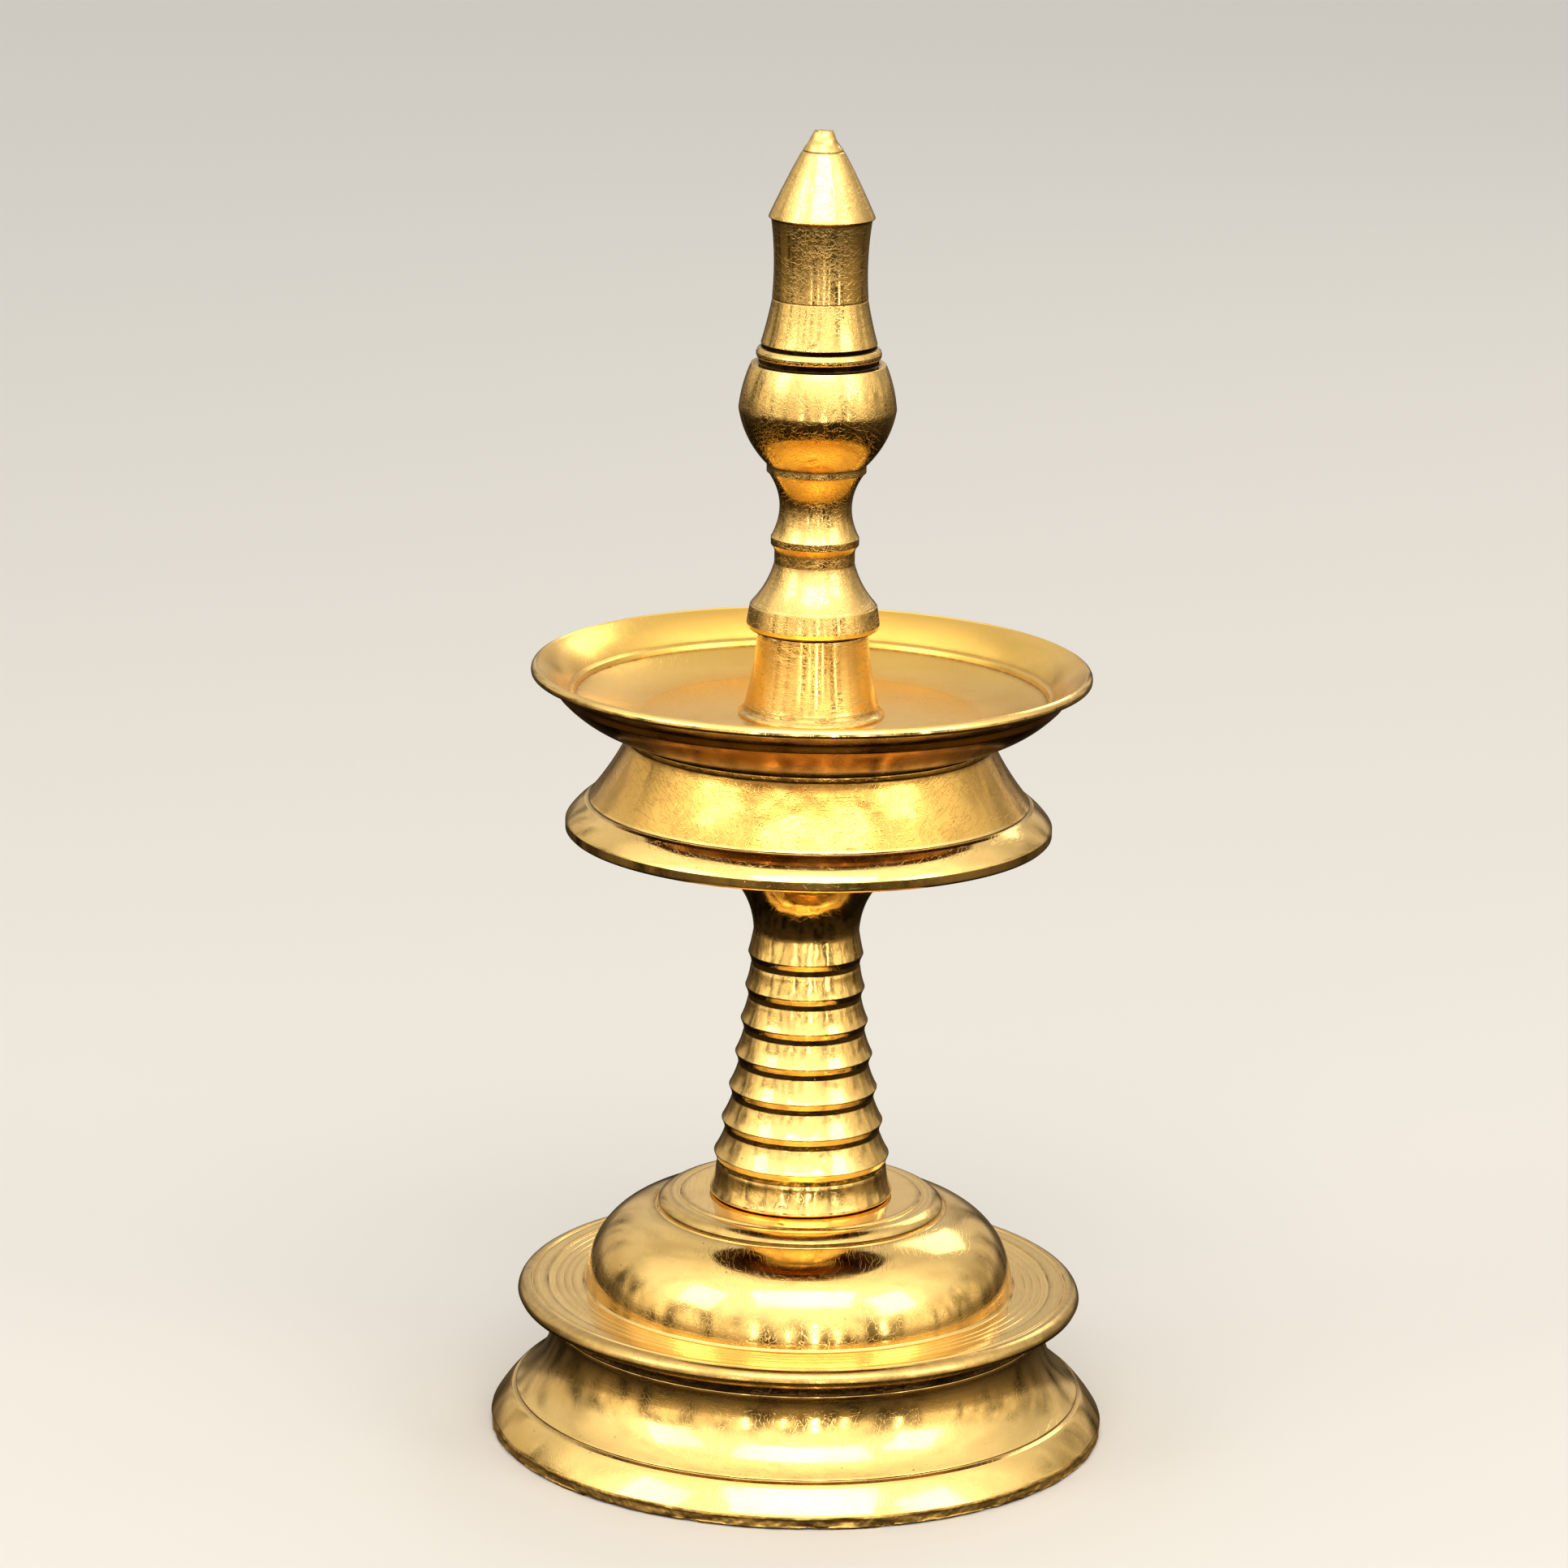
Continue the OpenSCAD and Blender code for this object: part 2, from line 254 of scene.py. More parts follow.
def grain(around: int, pitch: float, seed: int) -> Field:
    """Soft random relief that runs round the casting without a seam.

    Args:
        around: number of lumps round one turn.
        pitch: height of a lump along the outline, in millimetres.
        seed: picks the pattern.

    Returns:
        A field with values from -1 to 1.
    """
    table = np.random.default_rng(seed).random((around, TABLE_WIDTH)) * 2 - 1

    def at(theta: Rows, lay: Rows, _r: Rows, _z: Rows) -> Rows:
        """Height of the relief at each point."""
        u, v = theta / FULL_TURN * around, lay / pitch
        i, j = np.floor(u).astype(int), np.floor(v).astype(int)
        a, b = u - i, v - j
        a, b = a * a * (3 - 2 * a), b * b * (3 - 2 * b)
        i0, i1 = i % around, (i + 1) % around
        j0, j1 = j % TABLE_WIDTH, (j + 1) % TABLE_WIDTH
        low = table[i0, j0] * (1 - a) + table[i1, j0] * a
        high = table[i0, j1] * (1 - a) + table[i1, j1] * a
        return low * (1 - b) + high * b

    return at


@dataclass(frozen=True)
class Nick:
    """A small dent or chip.

    Attributes:
        turn: degrees round from the front, counter-clockwise from above.
        z: height in millimetres.
        wide: half width round the casting.
        tall: half height.
        depth: how deep it is.
        lean: how far it slants, as height gained for each millimetre round.
    """

    turn: float
    z: float
    wide: float
    tall: float
    depth: float
    lean: float = 0.0

    def relief(self, theta: Rows, r: Rows, z: Rows) -> Rows:
        """Depth of the nick, as a negative height, at each point."""
        away = (theta - math.radians(self.turn - 90) + math.pi) % FULL_TURN - math.pi
        side = away * r
        rise = z - self.z - self.lean * side
        return -self.depth * np.exp(-((side / self.wide) ** 2) - (rise / self.tall) ** 2)


# ---------------- finishes


def add_node(
    tree: Tree,
    kind: str,
    settings: dict[str, object] | None = None,
    inputs: dict[str | int, object] | None = None,
) -> bpy.types.Node:
    """Adds one node with its settings, values and links.

    Args:
        tree: node tree that gets it.
        kind: node type, without the "ShaderNode" in front.
        settings: property values by name.
        inputs: socket values, or output sockets to link, by the input's name or number.

    Returns:
        The new node.
    """
    node = tree.nodes.new("ShaderNode" + kind)
    for name, value in (settings or {}).items():
        setattr(node, name, value)
    for name, value in (inputs or {}).items():
        if isinstance(value, Socket):
            tree.links.new(value, node.inputs[name])
        else:
            node.inputs[name].default_value = value
    return node


def reckon(tree: Tree, operation: str, *values: Socket | float) -> Socket:
    """Adds one step of arithmetic on values or sockets."""
    return add_node(tree, "Math", {"operation": operation}, dict(enumerate(values))).outputs[0]


def remap(
    tree: Tree, value: Socket, given: tuple[float, float], wanted: tuple[Socket | float, float]
) -> Socket:
    """Carries a value from the given range over to the wanted one.

    Args:
        tree: node tree that gets the node.
        value: the value.
        given: lowest and highest value expected.
        wanted: what they turn into.

    Returns:
        The new value, held inside the wanted range.
    """
    return add_node(tree, "MapRange", None, dict(enumerate((value, *given, *wanted)))).outputs[0]


class Lay(Enum):
    """Which way the fine marks of a finish run."""

    ROUND = "round"        # turning marks, round the axis
    CROSSED = "crossed"    # polishing hairlines in all directions


@dataclass(frozen=True)
class BrassFinish:
    """Solid brass with the marks that making and use left on it.

    Attributes:
        name: what the material is.
        colour: clean metal.
        tarnish: brown film that gathers in grooves.
        roughness: of the clean metal.
        haze: how much roughness varies with smears.
        ring_mm: spacing of the turning marks.
        ring_depth: their strength.
        ripple_mm: size of the slow waviness that bends reflections.
        ripple_depth: its strength.
        hairlines: strength of the polishing scratches.
        scuff: strength of the dense short scratches that darken the metal.
        scuff_lay: which way the scuffs run.
        pits: strength of the casting pits.
        film: how much tarnish lies on open surfaces, from 0 to 1.
        stretch: how far turning marks draw a highlight out across themselves.
    """

    name: str
    colour: str = "#F1CA7C"
    tarnish: str = "#5E3E12"
    roughness: float = 0.07
    haze: float = 0.06
    ring_mm: float = 0.4
    ring_depth: float = 0.16
    ripple_mm: float = 6.0
    ripple_depth: float = 0.12
    hairlines: float = 0.18
    scuff: float = 0.0
    scuff_lay: Lay = Lay.CROSSED
    pits: float = 0.2
    film: float = 0.1
    stretch: float = 0.45

    def material(self) -> bpy.types.Material:
        """Builds the finish, or finds it if it was built before.

        Returns:
            The material.
        """
        if self.name in bpy.data.materials:
            return bpy.data.materials[self.name]
        made = bpy.data.materials.new(self.name)
        made.use_nodes = True
        tree = made.node_tree
        tree.nodes.clear()
        place = add_node(tree, "TexCoord").outputs["Object"]
        rings = self._ring_marks(tree, place)
        ripple = self._noise(tree, place, self.ripple_mm, 1.0)
        hairs = self._hairlines(tree, place)
        scuffs = self._scuffs(tree, place)
        pits = self._pits(tree, place)
        smear = self._noise(tree, place, 7.0, 4.0)
        dark = self._tarnish_share(tree, place, smear, pits, scuffs)
        colour = add_node(
            tree, "Mix", {"data_type": "RGBA"}, {0: dark, 6: linear(self.colour), 7: linear(self.tarnish)}
        ).outputs[2]
        rough = self._roughness(tree, smear, dark, scuffs, hairs)
        normal = None
        for height, depth_mm, strength in (
            (ripple, 0.35, self.ripple_depth),
            (rings, 0.03, self.ring_depth),
            (hairs, -0.02, self.hairlines),
            (scuffs, -0.02, self.scuff),
            (pits, -0.08, self.pits),
        ):
            if strength <= 0:
                continue
            links = {"Strength": min(1.0, strength), "Distance": abs(depth_mm) * MM, "Height": height}
            if normal is not None:
                links["Normal"] = normal
            normal = add_node(tree, "Bump", {"invert": depth_mm < 0}, links).outputs["Normal"]
        tangent = add_node(tree, "Tangent", {"direction_type": "RADIAL", "axis": "Z"}).outputs["Tangent"]
        shader = add_node(
            tree,
            "BsdfPrincipled",
            None,
            {
                "Base Color": colour,
                "Metallic": 1.0,
                "Roughness": rough,
                "Normal": normal,
                "Anisotropic": self.stretch,
                "Anisotropic Rotation": 0.25,
                "Tangent": tangent,
            },
        )
        add_node(tree, "OutputMaterial", None, {"Surface": shader.outputs["BSDF"]})
        return made

    def _noise(
        self, tree: Tree, place: Socket, size_mm: float, detail: float
    ) -> Socket:
        """Plain noise from 0 to 1, with lumps of a real size."""
        inputs = {"Vector": place, "Scale": 1 / (size_mm * MM), "Detail": detail, "Roughness": 0.55}
        return add_node(tree, "TexNoise", None, inputs).outputs["Fac"]

    def _round_place(
        self, tree: Tree, place: Socket, across_mm: float, around_mm: float
    ) -> Socket:
        """Coordinates drawn out round the axis: one unit is across_mm along the outline.

        Args:
            tree: node tree that gets the nodes.
            place: position in metres.
            across_mm: size of a mark along the outline.
            around_mm: size of a mark round the axis, at a radius of MARK_R.

        Returns:
            A vector socket.
        """
        turned = add_node(tree, "VectorMath", {"operation": "MULTIPLY"}, {0: place, 1: (1, 1, 0)}).outputs[0]
        unit = add_node(tree, "VectorMath", {"operation": "NORMALIZE"}, {0: turned}).outputs[0]
        length = {0: unit, "Scale": MARK_R / around_mm}
        ring = add_node(tree, "VectorMath", {"operation": "SCALE"}, length).outputs[0]
        lay = add_node(tree, "Attribute", {"attribute_name": "lay"}).outputs["Fac"]
        step = reckon(tree, "MULTIPLY", lay, 1 / (across_mm * MM))
        lift = add_node(tree, "CombineXYZ", None, {"Z": step}).outputs[0]
        return add_node(tree, "VectorMath", {"operation": "ADD"}, {0: ring, 1: lift}).outputs[0]

    def _ring_marks(self, tree: Tree, place: Socket) -> Socket:
        """Fine turning marks; drawn twice as coarse as the real ones so that they show."""
        marks = self._round_place(tree, place, self.ring_mm, 60.0)
        return add_node(tree, "TexNoise", None, {"Vector": marks, "Scale": 1.0, "Detail": 3.0}).outputs["Fac"]

    def _line_mask(
        self, tree: Tree, vector: Socket, thin: float, detail: float
    ) -> Socket:
        """Thin lines where noise crosses its middle value.

        Args:
            tree: node tree that gets the nodes.
            vector: scaled position.
            thin: half width of a line, as a share of the noise's range.
            detail: octaves of the noise.

        Returns:
            A value of 1 on the lines and 0 off them.
        """
        inputs = {"Vector": vector, "Scale": 1.0, "Detail": detail, "Roughness": 0.6}
        wave = add_node(tree, "TexNoise", None, inputs).outputs["Fac"]
        away = reckon(tree, "SUBTRACT", wave, 0.5)
        size = reckon(tree, "ABSOLUTE", away)
        return add_node(
            tree, "MapRange", {"interpolation_type": "SMOOTHSTEP"}, {0: size, 1: 0.0, 2: thin, 3: 1.0, 4: 0.0}
        ).outputs[0]

    def _slanted(
        self, tree: Tree, place: Socket, lean: tuple[float, float, float], thin_mm: float
    ) -> Socket:
        """Position turned and squeezed so that noise draws long straight marks one way."""
        return add_node(
            tree,
            "Mapping",
            {"vector_type": "POINT"},
            {"Vector": place, "Rotation": lean, "Scale": (1 / (thin_mm * MM), 90.0, 1 / (thin_mm * MM))},
        ).outputs[0]

    def _hairlines(self, tree: Tree, place: Socket) -> Socket:
        """Long polishing scratches in three directions, about half a millimetre apart.

        Args:
            tree: node tree that gets the nodes.
            place: position in metres.

        Returns:
            A value of 1 on the scratches.
        """
        lines = [
            self._line_mask(tree, self._slanted(tree, place, lean, 1.6), 0.012, 1.0)
            for lean in ((0.3, 0.9, 0.5), (1.2, 0.2, 1.1), (0.7, 1.4, 2.3))
        ]
        pair = reckon(tree, "MAXIMUM", lines[0], lines[1])
        return reckon(tree, "MAXIMUM", pair, lines[2])

    def _scuffs(self, tree: Tree, place: Socket) -> Socket:
        """Dense short scratches, in patches.

        Args:
            tree: node tree that gets the nodes.
            place: position in metres.

        Returns:
            A value of up to 1 on the scratches.
        """
        if self.scuff_lay is Lay.ROUND:
            marks = self._round_place(tree, place, 0.55, 6.0)
            lines = self._line_mask(tree, marks, 0.035, 3.0)
        else:
            lines = self._line_mask(tree, self._slanted(tree, place, (0.4, 0.3, 0.9), 0.7), 0.05, 3.0)
        patch = self._noise(tree, place, 5.0, 2.0)
        share = remap(tree, patch, (0.42, 0.62), (0.15, 1.0))
        return reckon(tree, "MULTIPLY", lines, share)

    def _pits(self, tree: Tree, place: Socket) -> Socket:
        """Casting pits a quarter of a millimetre across, few and scattered.

        Args:
            tree: node tree that gets the nodes.
            place: position in metres.

        Returns:
            A value of 1 in the pits.
        """
        cell = add_node(tree, "TexVoronoi", {"feature": "F1"}, {"Vector": place, "Scale": 1 / (1.7 * MM)})
        dots = remap(tree, cell.outputs["Distance"], (0.05, 0.11), (1, 0))
        pick = add_node(tree, "SeparateColor", None, {0: cell.outputs["Color"]}).outputs[0]
        few = reckon(tree, "GREATER_THAN", pick, 0.86)
        return reckon(tree, "MULTIPLY", dots, few)

    def _tarnish_share(
        self,
        tree: Tree,
        place: Socket,
        smear: Socket,
        pits: Socket,
        scuffs: Socket,
    ) -> Socket:
        """How brown the metal is at each point: in grooves, in pits, in scuffs and as a thin film.

        Args:
            tree: node tree that gets the nodes.
            place: position in metres.
            smear: slow noise.
            pits: mask of the pits.
            scuffs: mask of the scuffs.

        Returns:
            A share from 0 to 1.
        """
        crease = add_node(tree, "Attribute", {"attribute_name": "crease"}).outputs["Fac"]
        patchy = self._noise(tree, place, 1.4, 3.0)
        grip = remap(tree, patchy, (0.3, 0.7), (0.55, 1.0))
        groove = reckon(tree, "MULTIPLY", crease, grip)
        film = remap(tree, smear, (0.45, 0.75), (0.0, self.film))
        share = reckon(tree, "ADD", groove, film)
        for mask, weight in ((pits, 0.7 * min(1.0, self.pits * 3)), (scuffs, 0.45 * self.scuff)):
            share = reckon(tree, "MULTIPLY_ADD", mask, weight, share)
        return add_node(tree, "Clamp", None, {0: share, 1: 0.0, 2: 1.0}).outputs[0]

    def _roughness(
        self,
        tree: Tree,
        smear: Socket,
        dark: Socket,
        scuffs: Socket,
        hairs: Socket,
    ) -> Socket:
        """Roughness: smears haze the polish, and tarnish, scuffs and hairlines dull it.

        Args:
            tree: node tree that gets the nodes.
            smear: slow noise.
            dark: share of tarnish.
            scuffs: mask of the scuffs.
            hairs: mask of the hairlines.

        Returns:
            A roughness from 0.02 to 0.9.
        """
        low, high = self.roughness, self.roughness + self.haze
        rough = remap(tree, smear, (0.35, 0.7), (low, high))
        for mask, weight in ((dark, 0.3), (scuffs, 0.15 * self.scuff), (hairs, 0.12 * self.hairlines)):
            rough = reckon(tree, "MULTIPLY_ADD", mask, weight, rough)
        return add_node(tree, "Clamp", None, {0: rough, 1: 0.02, 2: 0.9}).outputs[0]


# Turned and buffed on the wheel: bright, with faint rings that break up the reflections.
BUFFED = BrassFinish("Buffed turned brass")
# The finial was handled most: a web of short scratches dulls it to a warm gold.
SCUFFED = BrassFinish(
    "Scuffed turned brass", roughness=0.08, ripple_depth=0.12, hairlines=0.5, scuff=0.6, film=0.25, pits=0.3
)
# The collar kept the lathe's chatter: level dark lines, close together.
CHATTERED = BrassFinish(
    "Chattered turned brass",
    roughness=0.1,
    ring_mm=0.5,
    ring_depth=0.25,
    scuff=0.9,
    scuff_lay=Lay.ROUND,
    film=0.3,
    stretch=0.6,
)
# The inside of the dish was left satin, so reflections there are soft patches of light.
SATIN = BrassFinish(
    "Satin turned brass",
    colour="#F2C565",
    roughness=0.2,
    ring_mm=0.45,
    ring_depth=0.25,
    ripple_depth=0.1,
    pits=0.0,
    stretch=0.6,
)
# Under the dish the colour is a deep orange brown: painted shade, standing in for the darkness that the
# underside mirrors from below.
UNDER_DISH_SHADE = BrassFinish("Painted shade under the dish", colour="#93601F", roughness=0.13, haze=0.1, film=0.45)
# The slope of the skirt has a wavier, smeared polish, and a warmer, darker colour that is a painted
# reflection tone, for the brown reflections on its sides.
SLOPE_WITH_PAINTED_REFLECTION = BrassFinish(
    "Smeared brass with painted reflection tone",
    colour="#E6B65E",
    roughness=0.09,
    ripple_mm=4.0,
    ripple_depth=0.26,
    hairlines=0.4,
    film=0.3,
    stretch=0.15,
)
# The stem was buffed by hand over its ridges, so its highlights run into each other.
HAND_BUFFED = BrassFinish(
    "Hand buffed brass",
    roughness=0.09,
    ripple_mm=2.4,
    ripple_depth=0.3,
    ring_depth=0.06,
    film=0.15,
    stretch=0.1,
)
# Bare casting that no tool touched: dull, dark and pitted.
AS_CAST = BrassFinish(
    "As cast brass",
    colour="#C9A25A",
    roughness=0.42,
    haze=0.15,
    ripple_mm=1.2,
    ripple_depth=0.8,
    ring_depth=0.0,
    hairlines=0.1,
    pits=1.0,
    film=0.8,
    stretch=0.0,
)
# Screw thread straight from the die: bright crests over oily dark roots.
CUT_THREAD = BrassFinish(
    "Cut thread brass", colour="#E2BC68", roughness=0.24, ring_depth=0.2, hairlines=0.1, film=0.3, stretch=0.3
)
# Brazing filler with flux left in it: nearly black, gritty.
BRAZE = BrassFinish(
    "Dark brazing filler",
    colour="#6E5430",
    tarnish="#1E150B",
    roughness=0.5,
    haze=0.2,
    ripple_mm=0.5,
    ripple_depth=1.0,
    ring_depth=0.0,
    hairlines=0.0,
    pits=1.0,
    film=1.0,
    stretch=0.0,
)
# Painted shade: a near-black finish where two castings meet, standing in for the shade in the gap between
# them.
PAINTED_SEAT_SHADE = replace(
    BRAZE,
    name="Painted seat shade on brass",
    colour="#4E3818",
    tarnish="#140C04",
    roughness=0.45,
    haze=0.1,
    ripple_mm=0.8,
    ripple_depth=0.6,
    pits=0.6,
)


# ---------------- spinning


@dataclass
class Casting:
    """One spun piece: an outline turned into a mesh, and dressed.

    Attributes:
        outline: its turned outline.
        finishes: its finishes; the first covers it, and paint says where the others go.
        body: CAD body it rides on.
        node: CAD node it stands for; the piece has its name, with a capital.
        slot: material slot of the record; not used.
        relief: extra height along the surface, in millimetres, or None.
        paint: index of the finish for each point of the outline, or None.
        ease: radius of its polished corners.
        crease_depth: depth of groove that holds full tarnish.
    """

    outline: Outline
    finishes: tuple[BrassFinish, ...]
    body: str
    node: str
    slot: str
    relief: Field | None = None
    paint: Callable[[Rows], Rows] | None = None
    ease: float = 0.1
    crease_depth: float = 0.16

    def make(self) -> Piece:
        """Spins the outline, dresses the mesh and ties it to the frame.

        Returns:
            The finished piece.
        """
        path = self.outline.eased(self.ease)
        closed = self.outline.closed
        path[:, 0] = np.maximum(path[:, 0], 0.0)
        segments = int(min(384, MOST_QUADS // len(path)))
        mesh = self._spin(path, closed, segments)
        piece = bpy.data.objects.new(self.node.capitalize(), mesh)
        bpy.context.scene.collection.objects.link(piece)
        for finish in self.finishes:
            mesh.materials.append(finish.material())
        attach(piece, self.body)
        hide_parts(self.node)
        log.info("%s: %d rings of %d, %d faces", piece.name, len(path), segments, len(mesh.polygons))
        return piece

    def _spin(self, path: Rows, closed: bool, segments: int) -> bpy.types.Mesh:
        """Turns an outline about Z.

        Args:
            path: (radius, height) rows, in millimetres.
            closed: whether the outline joins up.
            segments: steps round one turn.

        Returns:
            A mesh in metres, with the attributes that the finishes read.
        """
        lay = along(path)
        out = facing(path, closed)
        inset = np.einsum("ij,ij->i", steady(path, closed, 0.7) - path, out)
        theta = np.linspace(0, FULL_TURN, segments, endpoint=False)
        grid_t, grid_lay = np.meshgrid(theta, lay)
        grid_r, grid_z = path[:, :1] + 0 * grid_t, path[:, 1:] + 0 * grid_t
        height = self.relief(grid_t, grid_lay, grid_r, grid_z) if self.relief else 0 * grid_t
        height = height * (grid_r > 1e-6)
        grid_r = np.maximum(grid_r + height * out[:, :1], 0)
        grid_z = grid_z + height * out[:, 1:]
        spots = np.stack([grid_r * np.cos(grid_t), grid_r * np.sin(grid_t), grid_z], axis=2) * MM
        poles = [i for i in (0, len(path) - 1) if not closed and path[i, 0] < 1e-6]
        first = np.zeros(len(path), int)
        verts: list[Rows] = []
        values: list[Rows] = []
        count = 0
        for i in range(len(path)):
            first[i] = count
            ring = spots[i][:1] if i in poles else spots[i]
            verts.append(ring)
            values.append(np.full(len(ring), i))
            count += len(ring)
        ring_of = np.concatenate(values)
        faces, face_ring = self._faces(first, poles, closed, segments)
        mesh = bpy.data.meshes.new(self.node.capitalize())
        mesh.from_pydata(np.concatenate(verts).tolist(), [], faces)
        marks = {
            "lay": lay * MM,
            "crease": np.clip(inset / self.crease_depth, 0, 1),
        }
        for name, per_ring in marks.items():
            data = mesh.attributes.new(name, "FLOAT", "POINT")
            data.data.foreach_set("value", per_ring[ring_of].astype(np.float32))
        mesh.polygons.foreach_set("use_smooth", [True] * len(faces))
        if self.paint is not None:
            index = self.paint(path)[np.array(face_ring)]
            mesh.polygons.foreach_set("material_index", index.astype(np.int32))
        mesh.update()
        return mesh

    @staticmethod
    def _faces(
        first: Rows, poles: list[int], closed: bool, segments: int
    ) -> tuple[list[tuple[int, ...]], list[int]]:
        """Faces between neighbouring rings.

        Args:
            first: index of each ring's first vertex.
            poles: rings that are a single vertex on the axis.
            closed: whether the last ring joins the first.
            segments: vertices of a ring.

        Returns:
            The faces, and the ring that each belongs to.
        """
        faces: list[tuple[int, ...]] = []
        face_ring: list[int] = []
        count = len(first)
        for i in range(count if closed else count - 1):
            low, high = int(first[i]), int(first[(i + 1) % count])
            for j in range(segments):
                k = (j + 1) % segments
                if i in poles:
                    faces.append((low, high + k, high + j))
                elif (i + 1) in poles:
                    faces.append((low + j, low + k, high))
                else:
                    faces.append((low + j, low + k, high + k, high + j))
                face_ring.append(i)
        return faces, face_ring


def span(node: str) -> tuple[float, float, float]:
    """Size of a CAD node.

    Args:
        node: its name.

    Returns:
        Its largest radius, lowest height and highest height, in millimetres.
    """
    low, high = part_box(node)
    return high.x / MM, low.z / MM, high.z / MM


@dataclass(frozen=True)
class FlareSizes:
    """Radii and heights of a flared foot or skirt.

    Attributes:
        r: radius of the bottom edge.
        edge_h: height of the upright bottom edge.
        groove_r: radius at the scribed groove.
        groove_z: height of the groove.
        neck_r: radius at the top.
        top_z: height of the top.
        cove: depth of the hollow above the groove.
        shelf: flat ledge outside the groove.
        lip: height of the upright neck.
    """

    r: float
    edge_h: float
    groove_r: float
    groove_z: float
    neck_r: float
    top_z: float
    cove: float
    shelf: float = 0.6
    lip: float = 0.9


def flare(outline: Outline, z: float, sizes: FlareSizes) -> Outline:
    """Goes up the flared outside of a foot or skirt, from its bottom edge to its neck.

    Args:
        outline: outline that is at the bottom edge.
        z: height of the bottom edge.
        sizes: radii and heights of the flare.

    Returns:
        The outline.
    """
    outline.via([(sizes.r, z + EDGE), (sizes.r, z + sizes.edge_h - EDGE)], Cut.CURVED)
    outline.to(sizes.r - EDGE / 2, z + sizes.edge_h)
    outline.bow(sizes.groove_r + sizes.shelf, sizes.groove_z - 2 * SCRIBE, 0.12)
    outline.to(sizes.groove_r + EDGE, sizes.groove_z - SCRIBE)
    outline.to(sizes.groove_r - EDGE, sizes.groove_z)
    outline.to(sizes.groove_r - EDGE, sizes.groove_z + SCRIBE)
    outline.bow(sizes.neck_r - EDGE, sizes.top_z - sizes.lip, -sizes.cove)
    return outline.via([(sizes.neck_r, sizes.top_z - sizes.lip + EDGE), (sizes.neck_r, sizes.top_z)])


# ---------------- sub-assemblies


# Where the foot's bottom edge is chipped, in degrees round from the front
CHIPS = (-41, -28, -19, -6, 3, 9, 17, 26, 38, 61, 88, 117, 149, 171, 203, 236, 262, 291)


